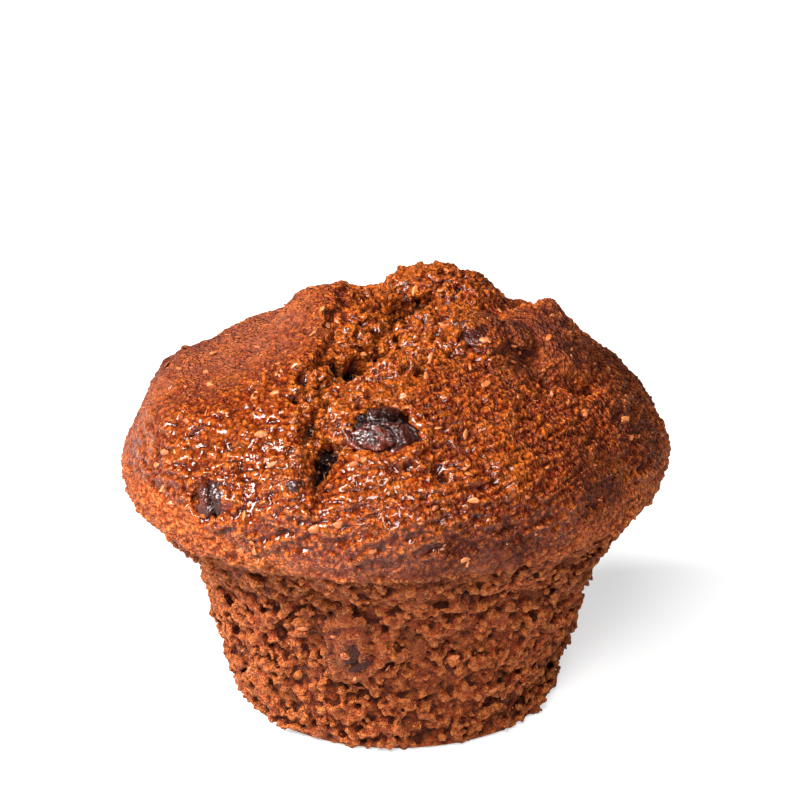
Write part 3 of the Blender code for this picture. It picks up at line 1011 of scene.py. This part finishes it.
def balls(places, normals, radii, flatness, seed, level=2):
    """Uneven balls at many places, each flattened along its normal."""
    shape = bmesh.new()
    bmesh.ops.create_icosphere(shape, subdivisions=level, radius=1.0)
    points, faces = arrays_of(to_mesh(shape, "ball"))
    places, normals = np.asarray(places, float), np.asarray(normals, float)
    radii = np.broadcast_to(radii, len(places))
    flatness = np.broadcast_to(flatness, len(places))
    spread = points[None, :, :] * np.ones((len(places), 1, 1))
    moved = (spread + places[:, None, :] * 1.7).reshape(-1, 3)
    swell = 1.0 + 0.30 * lift(moved, 0.9, seed).reshape(len(places), -1)
    spread = spread * swell[:, :, None]
    rise = (spread * normals[:, None, :]).sum(axis=2)
    spread -= (rise * (1.0 - flatness)[:, None])[:, :, None] * normals[:, None, :]
    spread = spread * radii[:, None, None] + places[:, None, :]
    steps = np.arange(len(places))[:, None, None] * len(points)
    return spread.reshape(-1, 3), (faces[None] + steps).reshape(-1, 3)


def strand(start, end, radius, sag, seed):
    """A thread of batter, as a row of overlapping balls."""
    start, end = np.array(start, float), np.array(end, float)
    count = max(3, int(np.linalg.norm(end - start) / (radius * 0.45)))
    along = np.linspace(0.0, 1.0, count + 1)
    places = start + (end - start) * along[:, None]
    line = np.stack([along * 2.2, np.full_like(along, seed), np.zeros_like(along)], axis=1)
    places = places + 0.5 * np.stack([lift(line, 1.0, axis * 5.0) for axis in range(3)], axis=1)
    places[:, 2] -= sag * 4.0 * along * (1.0 - along)
    waist = 1.0 + 0.9 * np.abs(2.0 * along - 1.0) ** 2.5 + 0.35 * lift(line * 2.3, 1.0, seed)
    return balls(places, np.tile([0.0, 0.0, 1.0], (len(places), 1)), radius * waist, 1.0, seed)


def face_samples(points, faces, count, seed):
    """Seeded random places on a surface, with the normals there."""
    corners = points[faces]
    cross = np.cross(corners[:, 1] - corners[:, 0], corners[:, 2] - corners[:, 0])
    areas = np.linalg.norm(cross, axis=1)
    random = np.random.default_rng(seed)
    chosen = random.choice(len(faces), size=count, p=areas / areas.sum())
    u, v = random.uniform(size=(2, count))
    flip = u + v > 1.0
    u, v = np.where(flip, 1.0 - u, u), np.where(flip, 1.0 - v, v)
    corners = corners[chosen]
    places = corners[:, 0] + u[:, None] * (corners[:, 1] - corners[:, 0]) \
        + v[:, None] * (corners[:, 2] - corners[:, 0])
    return places, cross[chosen] / areas[chosen][:, None]


def burst_lumps(points, faces):
    """Lobes of batter all over the torn top."""
    random = np.random.default_rng(4)
    places, normals = face_samples(points, faces, BURST_TRIES, 14)
    share = burst_share(places)
    clump = 0.5 + 0.5 * lift(places, 3.0, 17.0)
    keep = (share > 0.35) & (clump > random.uniform(0.15, 0.75, len(places)))
    places, normals = places[keep][:MOST_LOBES], normals[keep][:MOST_LOBES]
    radii = 0.55 + 1.05 * random.uniform(size=len(places)) ** 1.8
    high = smooth_step(places[:, 2], 69.5, 73.0)
    radii *= 1.0 - 0.50 * high
    rise = (random.uniform(-0.45, 0.15, len(places)) - 0.5 * high) * radii
    places = places + normals * rise[:, None]
    return balls(places, normals, radii, random.uniform(0.6, 1.0, len(places)), 3.0)


def raisin_laps(form_surface, in_crown):
    """Batter that closes around each raisin and laps over some of it."""
    places, normals, radii = [], [], []
    for node in RAISIN_NODES:
        low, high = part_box(node)
        middle = (np.array(low) + np.array(high)) / 2 / MM
        if (middle[2] > LIP_HEIGHT) != in_crown:
            continue
        surface = tree_of(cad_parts[node].data, 1 / MM)
        outward = (middle - HEART) / np.linalg.norm(middle - HEART)
        up = np.array([0.0, 0.0, 1.0]) - outward * outward[2]
        up /= np.linalg.norm(up)
        side = np.cross(up, outward)
        for angle in np.arange(0.0, 360.0, LAP_TURN):
            turn = math.radians(angle)
            ray = side * math.cos(turn) + up * math.sin(turn)
            rim = None
            for reach in np.arange(*EDGE_REACH):
                source = Vector(middle + outward * RAY_HEIGHT + ray * reach)
                down = Vector(-outward)
                fruit = surface.ray_cast(source, down)[3]
                dough = form_surface.ray_cast(source, down)[3]
                if dough is not None and (fruit is None or dough < fruit):
                    rim = reach
                    break
            if rim is None:
                continue
            left_open = LEFT_OPEN
            for toward, width, share in LAPS[node]:
                away = abs((angle - toward + 180.0) % 360.0 - 180.0) / width
                if away < 1.0:
                    left_open = min(left_open, share + (LEFT_OPEN - share) * away ** 2)
            inner = max(0.0, rim * left_open)
            for reach in np.arange(inner, rim + LAP_PAST, LAP_STEP):
                source = Vector(middle + outward * RAY_HEIGHT + ray * reach)
                hits = [tree.ray_cast(source, Vector(-outward))
                        for tree in (surface, form_surface)]
                hits = [hit for hit in hits if hit[0] is not None]
                if not hits:
                    continue
                hit = min(hits, key=lambda found: found[3])
                places.append(np.array(hit[0]))
                normals.append(np.array(hit[1]))
                radii.append(0.60 + 0.40 * min(1.0, (reach - inner) / 1.2))
    places, normals, radii = np.array(places), np.array(normals), np.array(radii)
    radii = radii * (1.0 + 0.35 * lift(places, 1.8, 41.0))
    places = places + normals * (radii * 0.05)[:, None]
    return balls(places, normals, radii, 0.80, 8.0)


def skin_edge(points):
    """Height at which the crown's skin gives way to open crumb on its underside."""
    wave = 1.2 * lift(points * np.array([1.0, 1.0, 0.2]), 5.0, 61.0)
    return lip_height(points) + wave + 7.0 * smooth_step(np.abs(points[:, 0] - 2.0), 17.0, 40.0) \
        + 3.0 * smooth_step(points[:, 1], 0.0, 30.0)


def crumb_balls(points, faces, count, seed, reach, below_skin):
    """Small fused lumps of crumb with gaps between them."""
    random = np.random.default_rng(seed)
    places, normals = face_samples(points, faces, count, seed + 1)
    under = places[:, 2] - skin_edge(places)
    keep = (places[:, 2] > 0.5) & (np.abs(normals[:, 2]) < 0.94)
    if below_skin:
        keep &= (under < 0.3) & (places[:, 2] > lip_height(places) - 0.6)
    bent = warped(places, 3.0, 1.2, 5.0)
    gaps = lift(bent, 5.2, 51.0) + 0.60 * lift(bent, 2.3, 57.0)
    keep &= gaps > (-0.62 if below_skin else -0.32)
    for start, end, radius, _ in (() if below_skin else CUP_HOLES):
        away, _ = line_distance(places, start, end)
        keep &= away > radius * 0.95
    places, normals = places[keep], normals[keep]
    radii = 0.42 + 0.72 * random.uniform(size=len(places)) ** 2.0
    outer = reach + 0.45 * lift(places, 4.5, 71.0) + 0.35 * random.uniform(-1.0, 1.0, len(places))
    places = places + normals * (outer - radii)[:, None]
    return balls(places, normals, radii, random.uniform(0.7, 1.0, len(places)), 9.0)


def relief_of(mesh, rounds):
    """How far each vertex stands out from a smoothed copy of its mesh."""
    points, normals = read_points(mesh)
    calm = soften(mesh.copy(), rounds)
    smoothed, _ = read_points(calm)
    bpy.data.meshes.remove(calm)
    return ((points - smoothed) * normals).sum(axis=1)


def thin_out(mesh, limit):
    """Fewer triangles where the surface is calm."""
    count = sum(len(face.vertices) - 2 for face in mesh.polygons)
    if count <= limit:
        return mesh

    def build(holder):
        fewer = holder.modifiers.new("Fewer", "DECIMATE")
        fewer.ratio = limit / count
        fewer.use_collapse_triangulate = True
    return evaluated(mesh, build)


def crown_masks(points):
    """Shares of torn top, skin and rolled rim at each point of the crown."""
    skin = smooth_step(points[:, 2] - skin_edge(points), -0.6, 1.4)
    rim = (1.0 - smooth_step(points[:, 2] - lip_height(points), 0.5, 4.0)) * skin
    rim *= 1.0 - smooth_step(np.abs(points[:, 0]), 16.0, 30.0)
    return burst_share(points), skin, rim


def build_crown(form, smooth_surface):
    """The crown: glossy cracked crust over torn batter, rolled under at its edge."""
    form_surface = tree_of(form)
    body = half(form, True, "crown")
    parts = [body]
    lobes = np.array(LOBES)
    outward = lobes[:, :3] - HEART
    outward /= np.linalg.norm(outward, axis=1)[:, None]
    parts.append(balls(lobes[:, :3], outward, lobes[:, 3], lobes[:, 4], 2.0, 4))
    for number, (start, end, radius, sag) in enumerate(STRANDS):
        parts.append(strand(start, end, radius, sag, number * 5.7))
    parts.append(burst_lumps(*body))
    parts.append(raisin_laps(form_surface, True))
    parts.append(crumb_balls(*body, CROWN_CRUMB_TRIES, 77, 0.35, True))
    mesh = even_mesh(join(parts, "crown"), sizes().crown_step)
    mesh = keep_largest(mesh)

    points, normals = read_points(mesh)
    burst, skin, rim = crown_masks(points)
    knob = np.exp(-((points[:, 0] - 23.0) / 8.0) ** 2 - ((points[:, 1] + 6.0) / 8.0) ** 2)
    left = smooth_step(-points[:, 0], 8.0, 24.0) * smooth_step(points[:, 1], -26.0, -6.0)
    calm = np.clip(1.0 - 0.75 * knob - 0.55 * rim - 0.45 * left, 0.2, 1.0)

    # Rows of grains that run around the crown and climb to the right
    around = np.arctan2(points[:, 0] - 2.0, -points[:, 1])
    slant = np.hypot(points[:, 0], points[:, 1]) - points[:, 2] + 0.35 * points[:, 0]
    rows = np.stack([12.0 * np.cos(around), 12.0 * np.sin(around), slant * 0.9], axis=1)
    wave = rough(warped(rows, 3.0, 0.8, 2.0), 1.7, 21.0, 2)
    bent = warped(points, 2.0, 0.45)
    near, _ = cells(bent, GRAIN_SIZE, 7.0)
    grains = 0.45 - 1.3 * near ** 2
    near_big, chance = cells(warped(points, 4.0, 0.9, 4.0), 2.0 * GRAIN_SIZE, 9.0)
    lumps = np.clip(0.62 - near_big, -0.1, 0.6) * smooth_step(chance, 0.45, 0.7)
    fine = lift(points, 0.75, 15.0)
    push = sizes().crust_relief * calm * skin * (0.95 * grains + 0.80 * wave + 0.30 * fine)
    push += 0.45 * calm * (1.0 - burst) * skin * lumps
    push += burst * (0.55 * grains + 0.20 * fine)
    push += (1.0 - skin) * (0.25 * fine + 0.45 * grains)
    points += normals * push[:, None]
    points += dig(points, normals, CROWN_HOLES, 1.0, 1.0)
    points[:, 2] -= TOP_PRESS * np.maximum(points[:, 2] - TOP_START, 0.0)
    write_points(mesh, points)
    mesh = thin_out(mesh, MOST_TRIANGLES)

    points, _ = read_points(mesh)
    burst, skin, rim = crown_masks(points)
    stand = height_over(smooth_surface, points)
    small, broad = relief_of(mesh, 4), relief_of(mesh, 24)
    front = smooth_step(-points[:, 1], -6.0, 26.0)
    right = smooth_step(points[:, 0], 10.0, 40.0)
    left = smooth_step(-points[:, 0], 8.0, 20.0) * smooth_step(points[:, 1], -24.0, 0.0)
    wet = 0.40 + 0.60 * front - 0.45 * right - 0.6 * rim - 0.25 * left + 0.30 * burst
    # Painted shade: pits below the smooth form and broad hollows
    set_attribute(mesh, "pit_shade", smooth_step(-stand - 0.4, 0.2, 2.2))
    set_attribute(mesh, "hollow_shade", smooth_step(-broad, 0.0, 0.28))
    # Painted light: raised grains and ridges
    set_attribute(mesh, "ridge_light_and_tone", np.clip(smooth_step(small, 0.01, 0.10) * 0.7
                                         + smooth_step(broad, 0.05, 0.5) * 0.5, 0.0, 1.0))
    set_attribute(mesh, "wet", np.clip(wet, 0.05, 1.0) * (0.3 + 0.7 * skin))
    set_attribute(mesh, "skin", skin)
    # Painted sheen share: the left plate, the rolled rim and high on the right
    high = smooth_step(points[:, 2], 60.0, 68.0)
    pale = 0.50 * left * (1.0 - burst) + 0.45 * rim + 0.30 * right * high
    set_attribute(mesh, "pale", np.clip(pale, 0.0, 1.0) * (0.75 + 0.5 * lift(points, 2.6, 47.0)))
    set_attribute(mesh, "stain", stain_share(points))
    return finish_piece("crown", mesh, crust_material(), ["muffin"])


def stain_share(points):
    """Purple-brown bloom on the crust, where fruit lies under it and along the right."""
    share = np.zeros(len(points))
    for x, y, z, radius in STAINS:
        away = np.linalg.norm((points - np.array([x, y, z])) / radius, axis=1)
        share = np.maximum(share, np.exp(-away ** 2 * 1.3))
    patchy = 0.65 + 0.5 * lift(points, 3.2, 33.0) + 0.25 * lift(points, 1.1, 35.0)
    return np.clip(share * patchy * 1.4, 0.0, 1.0)


def build_cup(form, smooth_surface):
    """The cup: open crumb of fused lumps and torn pores, tucked under the crown's edge."""
    points, faces = half(form, False, "cup")
    outward = points * np.array([1.0, 1.0, 0.0])
    outward /= np.maximum(np.linalg.norm(outward, axis=1), 1e-6)[:, None]
    radial = np.linalg.norm(points[:, :2], axis=1)
    on_wall = smooth_step(points[:, 2], 0.3, 2.0) * smooth_step(radial, 20.0, 26.0)
    under = points[:, 2] - lip_height(points)
    tuck = LIP_OVERHANG * smooth_step(under, -3.0, 0.4)
    surface_points = points - outward * tuck[:, None]
    lumps = crumb_balls(surface_points, faces, CUP_CRUMB_TRIES, 87, 0.30, False)
    sunk = (CORE_DEPTH + 0.45 * lift(points, 3.0, 43.0)) * on_wall
    core = surface_points - outward * sunk[:, None]
    laps = raisin_laps(tree_of(form), False)
    mesh = even_mesh(join([(core, faces), lumps, laps], "cup"), sizes().cup_step)
    mesh = keep_largest(mesh)

    points, normals = read_points(mesh)
    on_wall = smooth_step(points[:, 2], 0.25, 1.2)
    near, chance = cells(warped(points, 1.5, 0.4, 3.0), PORE_SIZE, 6.0)
    pores = smooth_step(0.55 - near, 0.0, 0.4) * smooth_step(chance, 0.55, 0.7)
    push = 0.22 * lift(points, 0.8, 13.0) + 0.20 * rough(points, 1.8, 19.0, 2)
    push -= sizes().crumb_relief * 0.55 * pores
    points += normals * (push * on_wall)[:, None]
    points += dig(points, normals, CUP_HOLES, 1.35, 1.0) * on_wall[:, None]
    points[:, 2] = np.maximum(points[:, 2], 0.0)
    write_points(mesh, points)
    mesh = thin_out(mesh, MOST_TRIANGLES)

    points, _ = read_points(mesh)
    stand = height_over(smooth_surface, points)
    small, broad = relief_of(mesh, 4), relief_of(mesh, 24)
    # Painted shade in pits and hollows, and painted light on the raised walls
    set_attribute(mesh, "pit_shade", smooth_step(-stand - 0.5, 0.3, 2.6))
    set_attribute(mesh, "hollow_shade", smooth_step(-broad, 0.0, 0.35))
    set_attribute(mesh, "ridge_light_and_tone", np.clip(smooth_step(small, 0.01, 0.12) * 0.7
                                         + smooth_step(broad, 0.05, 0.6) * 0.5, 0.0, 1.0))
    set_attribute(mesh, "stain", stain_share(points))
    return finish_piece("cup", mesh, crumb_material(), ["muffin"])


class MuffinBody(bpy.types.Operator):
    """Build the crown and the cup from the body's solid"""

    bl_idname = "muffin.baked_body"
    bl_label = "Baked body"

    def execute(self, context):
        form = base_form()
        smooth_surface = tree_of(form)
        form = shape_form(form)
        build_crown(form, smooth_surface)
        build_cup(form, smooth_surface)
        bpy.data.meshes.remove(form)
        return {"FINISHED"}


# ---------------------------------------------------------------- raisins


def raisin_axes(node):
    """Middle, half lengths and directions of a raisin's solid, in millimetres."""
    corners = np.array([vert.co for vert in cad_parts[node].data.vertices], float) / MM
    corners = np.unique(np.round(corners, 3), axis=0)
    low, high = corners.min(axis=0), corners.max(axis=0)
    middle = (low + high) / 2
    _, _, turn = np.linalg.svd(corners - corners.mean(axis=0), full_matrices=False)
    if np.linalg.det(turn) < 0:
        turn[2] = -turn[2]
    reach = np.abs((corners - middle) @ turn.T).max(axis=0)
    return middle, reach, turn


def build_raisin(node, material, seed):
    """One raisin: swollen fruit with a few deep folds and fine wrinkles."""
    middle, reach, turn = raisin_axes(node)
    shape = bmesh.new()
    bmesh.ops.create_icosphere(shape, subdivisions=6 if reach[0] > 5.0 else 5, radius=1.0)
    mesh = to_mesh(shape, node + "_skin")
    points, normals = read_points(mesh)
    round_points = points * (reach + 0.35)
    along = round_points * np.array([0.35, 1.0, 1.0])
    bent = warped(along, 4.0, 1.6, seed)
    folds = np.abs(lift(bent, 3.6, seed + 2.0))
    small = np.abs(lift(warped(round_points, 1.5, 0.5, seed), 1.2, seed + 4.0))
    fine = rough(round_points, 0.55, seed, 2)
    swell = rough(round_points, 5.0, seed + 6.0, 2)
    push = 0.35 * swell - 1.1 * (1.0 - smooth_step(folds, 0.0, 0.22)) ** 1.5
    push += 0.40 * (small - 0.3) + 0.07 * fine
    world = round_points @ turn + middle
    for start, end, radius, depth in FOLDS.get(node, ()):
        away, _ = line_distance(world, start, end)
        push -= depth * (1.0 - smooth_step(away / radius, 0.0, 1.0)) ** 0.8
    points = round_points + normals * push[:, None]
    write_points(mesh, points @ turn + middle)
    # Painted shade in the folds, and painted light on the raised skin
    set_attribute(mesh, "pit_shade", smooth_step(-push, 0.1, 1.0))
    set_attribute(mesh, "ridge_light_and_tone", smooth_step(push, -0.05, 0.35))
    in_crumb = 1.0 if middle[2] < LIP_HEIGHT else 0.0
    set_attribute(mesh, "dull", np.full(len(points), in_crumb))
    return finish_piece(node + "_skin", mesh, material, [node])


class MuffinRaisins(bpy.types.Operator):
    """Build the wrinkled raisins"""

    bl_idname = "muffin.raisins"
    bl_label = "Raisins"

    def execute(self, context):
        material = raisin_material()
        for number, node in enumerate(RAISIN_NODES):
            build_raisin(node, material, 3.0 + 7.3 * number)
        return {"FINISHED"}


# ---------------------------------------------------------------- flakes and crumbs


def scatter(name, count, seed, low, high):
    """Seeded random places on a piece between two heights, in millimetres, with normals."""
    mesh = bpy.data.objects[name].data
    points, _ = read_points(mesh)
    faces = np.empty(len(mesh.polygons) * 3, np.int32)
    mesh.polygons.foreach_get("vertices", faces)
    places, normals = face_samples(points / MM, faces.reshape(-1, 3), count * 3, seed)
    keep = (places[:, 2] > low) & (places[:, 2] < high)
    return places[keep][:count], normals[keep][:count]


def unit(vectors):
    """Vectors made one long."""
    return vectors / np.linalg.norm(vectors, axis=1)[:, None]


def flakes(places, normals, lengths, seed):
    """Thin curled flakes that lie almost flat on the surface, mostly along its rows."""
    random = np.random.default_rng(seed)
    shape = bmesh.new()
    bmesh.ops.create_icosphere(shape, subdivisions=2, radius=0.5)
    points, faces = arrays_of(to_mesh(shape, "flake"))
    count = len(places)
    around = np.stack([-places[:, 1], places[:, 0], np.full(count, 6.0)], axis=1)
    around += random.normal(size=(count, 3)) * 22.0
    tilt = normals + random.normal(size=(count, 3)) * 0.22
    up = unit(tilt)
    ahead = unit(around - (around * up).sum(axis=1)[:, None] * up)
    side = np.cross(up, ahead)
    widths = lengths * random.uniform(0.32, 0.6, count)
    thick = 0.16 + 0.05 * lengths
    spread = points[None] * np.ones((count, 1, 1))
    jag = lift((spread + places[:, None, :] * 2.3).reshape(-1, 3), 0.33, 4.0).reshape(count, -1)
    spread = spread * (1.0 + 0.45 * jag)[:, :, None]
    bend = random.uniform(-0.3, 0.5, count)[:, None] * spread[:, :, 0] ** 2
    local = spread[:, :, 0:1] * lengths[:, None, None] * ahead[:, None, :]
    local += spread[:, :, 1:2] * widths[:, None, None] * side[:, None, :]
    rise = spread[:, :, 2] * thick[:, None] - bend * lengths[:, None]
    local += rise[:, :, None] * up[:, None, :]
    local += (places - normals * thick[:, None] * 0.05)[:, None, :]
    steps = np.arange(count)[:, None, None] * len(points)
    tones = np.repeat(random.uniform(size=count), len(points))
    return local.reshape(-1, 3), (faces[None] + steps).reshape(-1, 3), tones


class MuffinFlakes(bpy.types.Operator):
    """Build the bran flakes that lie in the crust and the crumb"""

    bl_idname = "muffin.bran_flakes"
    bl_label = "Bran flakes"

    def execute(self, context):
        random = np.random.default_rng(12)
        on_crown = scatter("crown", int(sizes().flake_count * 0.75), 31, LIP_HEIGHT + 2.0, 99.0)
        on_cup = scatter("cup", int(sizes().flake_count * 0.25), 33, 2.0, LIP_HEIGHT - 1.0)
        places = np.concatenate([on_crown[0], on_cup[0]])
        normals = np.concatenate([on_crown[1], on_cup[1]])
        lengths = 0.6 + 2.0 * random.uniform(size=len(places)) ** 2.6
        points, faces, tones = flakes(places, normals, lengths, 35)
        mesh = join([(points, faces)], "flakes")
        set_attribute(mesh, "tone", tones)
        finish_piece("bran_flakes", mesh, bran_material())
        return {"FINISHED"}


class MuffinCrumbs(bpy.types.Operator):
    """Build the small crumbs that cling to the cup"""

    bl_idname = "muffin.crumbs"
    bl_label = "Crumbs"

    def execute(self, context):
        random = np.random.default_rng(19)
        spots, normals = scatter("cup", sizes().crumb_count, 41, 0.8, LIP_HEIGHT - 2.0)
        radii = 0.18 + 0.34 * random.uniform(size=len(spots)) ** 3
        spots = spots + normals * (radii * 0.3)[:, None]
        mesh = join([balls(spots, normals, radii, 0.8, 6.0, 2)], "crumbs")
        # Random paler tone for each vertex, read as the raised colour
        set_attribute(mesh, "ridge_light_and_tone", random.uniform(0.0, 1.0, len(mesh.vertices)))
        finish_piece("crumbs", mesh, bpy.data.materials["open_crumb"])
        return {"FINISHED"}


# ---------------------------------------------------------------- stage

CAMERA_DISTANCE = 0.650
CAMERA_LENS = 167.3
CAMERA_ELEVATION = math.radians(20.0)
CAMERA_AIM = Vector((0.0008, 0.0, 0.0549))


def floor_material():
    """Plain white floor that keeps the soft shadow."""
    material, tree, shader, _ = new_material("pale_floor")
    shader.inputs["Base Color"].default_value = (*colors().floor[:], 1.0)
    shader.inputs["Roughness"].default_value = 0.9
    shader.inputs["Specular IOR Level"].default_value = 0.0
    path = tree.nodes.new("ShaderNodeLightPath")
    tree.links.new(maths(tree, "MULTIPLY", path.outputs["Is Camera Ray"], FLOOR_GLOW),
                   shader.inputs["Emission Strength"])
    shader.inputs["Emission Color"].default_value = (1.0, 1.0, 1.0, 1.0)
    return material


def add_lamp(name, direction, size, power):
    """A square soft lamp that looks at the muffin."""
    lamp = bpy.data.lights.new(name, "AREA")
    lamp.shape = "SQUARE"
    lamp.size = size
    lamp.energy = power
    lamp.color = (1.0, 1.0, 1.0)
    holder = bpy.data.objects.new(name, lamp)
    bpy.context.scene.collection.objects.link(holder)
    azimuth, elevation = (math.radians(angle) for angle in direction)
    out = Vector((math.cos(azimuth) * math.cos(elevation),
                  math.sin(azimuth) * math.cos(elevation), math.sin(elevation)))
    holder.location = LAMP_AIM + out * LAMP_DISTANCE
    holder.rotation_euler = out.to_track_quat("Z", "Y").to_euler()


class MuffinStage(bpy.types.Operator):
    """Build the floor, the soft lamps and the camera"""

    bl_idname = "muffin.stage"
    bl_label = "Stage"

    def execute(self, context):
        scene = context.scene
        shape = bmesh.new()
        bmesh.ops.create_grid(shape, x_segments=2, y_segments=2, size=FLOOR_SIZE)
        mesh = to_mesh(shape, "floor")
        mesh.materials.append(floor_material())
        floor = bpy.data.objects.new("floor", mesh)
        scene.collection.objects.link(floor)

        world = bpy.data.worlds.new("studio")
        world.use_nodes = True
        tree = world.node_tree
        background = tree.nodes["Background"]
        background.inputs["Color"].default_value = (1.0, 1.0, 1.0, 1.0)
        path = tree.nodes.new("ShaderNodeLightPath")
        seen = path.outputs["Is Camera Ray"]
        tree.links.new(remap(tree, seen, 0.0, 1.0, WORLD_LIGHT, 1.0), background.inputs["Strength"])
        scene.world = world

        for lamp in LAMPS:
            add_lamp(*lamp)

        camera = bpy.data.cameras.new("camera")
        camera.lens = CAMERA_LENS
        camera.sensor_width = 36.0
        camera.clip_start = 0.01
        camera.dof.use_dof = False
        holder = bpy.data.objects.new("camera", camera)
        scene.collection.objects.link(holder)
        back = Vector((0.0, -math.cos(CAMERA_ELEVATION), math.sin(CAMERA_ELEVATION)))
        holder.location = CAMERA_AIM + back * CAMERA_DISTANCE
        holder.rotation_euler = (math.pi / 2 - CAMERA_ELEVATION, 0.0, 0.0)
        scene.camera = holder
        scene.view_settings.view_transform = "Standard"
        return {"FINISHED"}


class MuffinPanel(bpy.types.Panel):
    """Buttons for the muffin's pieces"""

    bl_label = "Raisin Bran Muffin"
    bl_idname = "VIEW3D_PT_muffin"
    bl_space_type = "VIEW_3D"
    bl_region_type = "UI"
    bl_category = "Muffin"

    def draw(self, context):
        for step in STEPS:
            self.layout.operator(step.bl_idname)
        for group in (context.scene.muffin_sizes, context.scene.muffin_colors):
            for name in group.bl_rna.properties.keys():
                if name not in ("rna_type", "name"):
                    self.layout.prop(group, name)


STEPS = (MuffinBody, MuffinRaisins, MuffinFlakes, MuffinCrumbs, MuffinStage)
CLASSES = (MuffinColors, MuffinSizes, *STEPS, MuffinPanel)


def register():
    for item in CLASSES:
        bpy.utils.register_class(item)
    bpy.types.Scene.muffin_colors = PointerProperty(type=MuffinColors)
    bpy.types.Scene.muffin_sizes = PointerProperty(type=MuffinSizes)


def unregister():
    del bpy.types.Scene.muffin_sizes
    del bpy.types.Scene.muffin_colors
    for item in reversed(CLASSES):
        bpy.utils.unregister_class(item)


def main():
    register()
    bpy.ops.muffin.baked_body()
    bpy.ops.muffin.raisins()
    bpy.ops.muffin.bran_flakes()
    bpy.ops.muffin.crumbs()
    bpy.ops.muffin.stage()


if __name__ == "__main__":
    main()
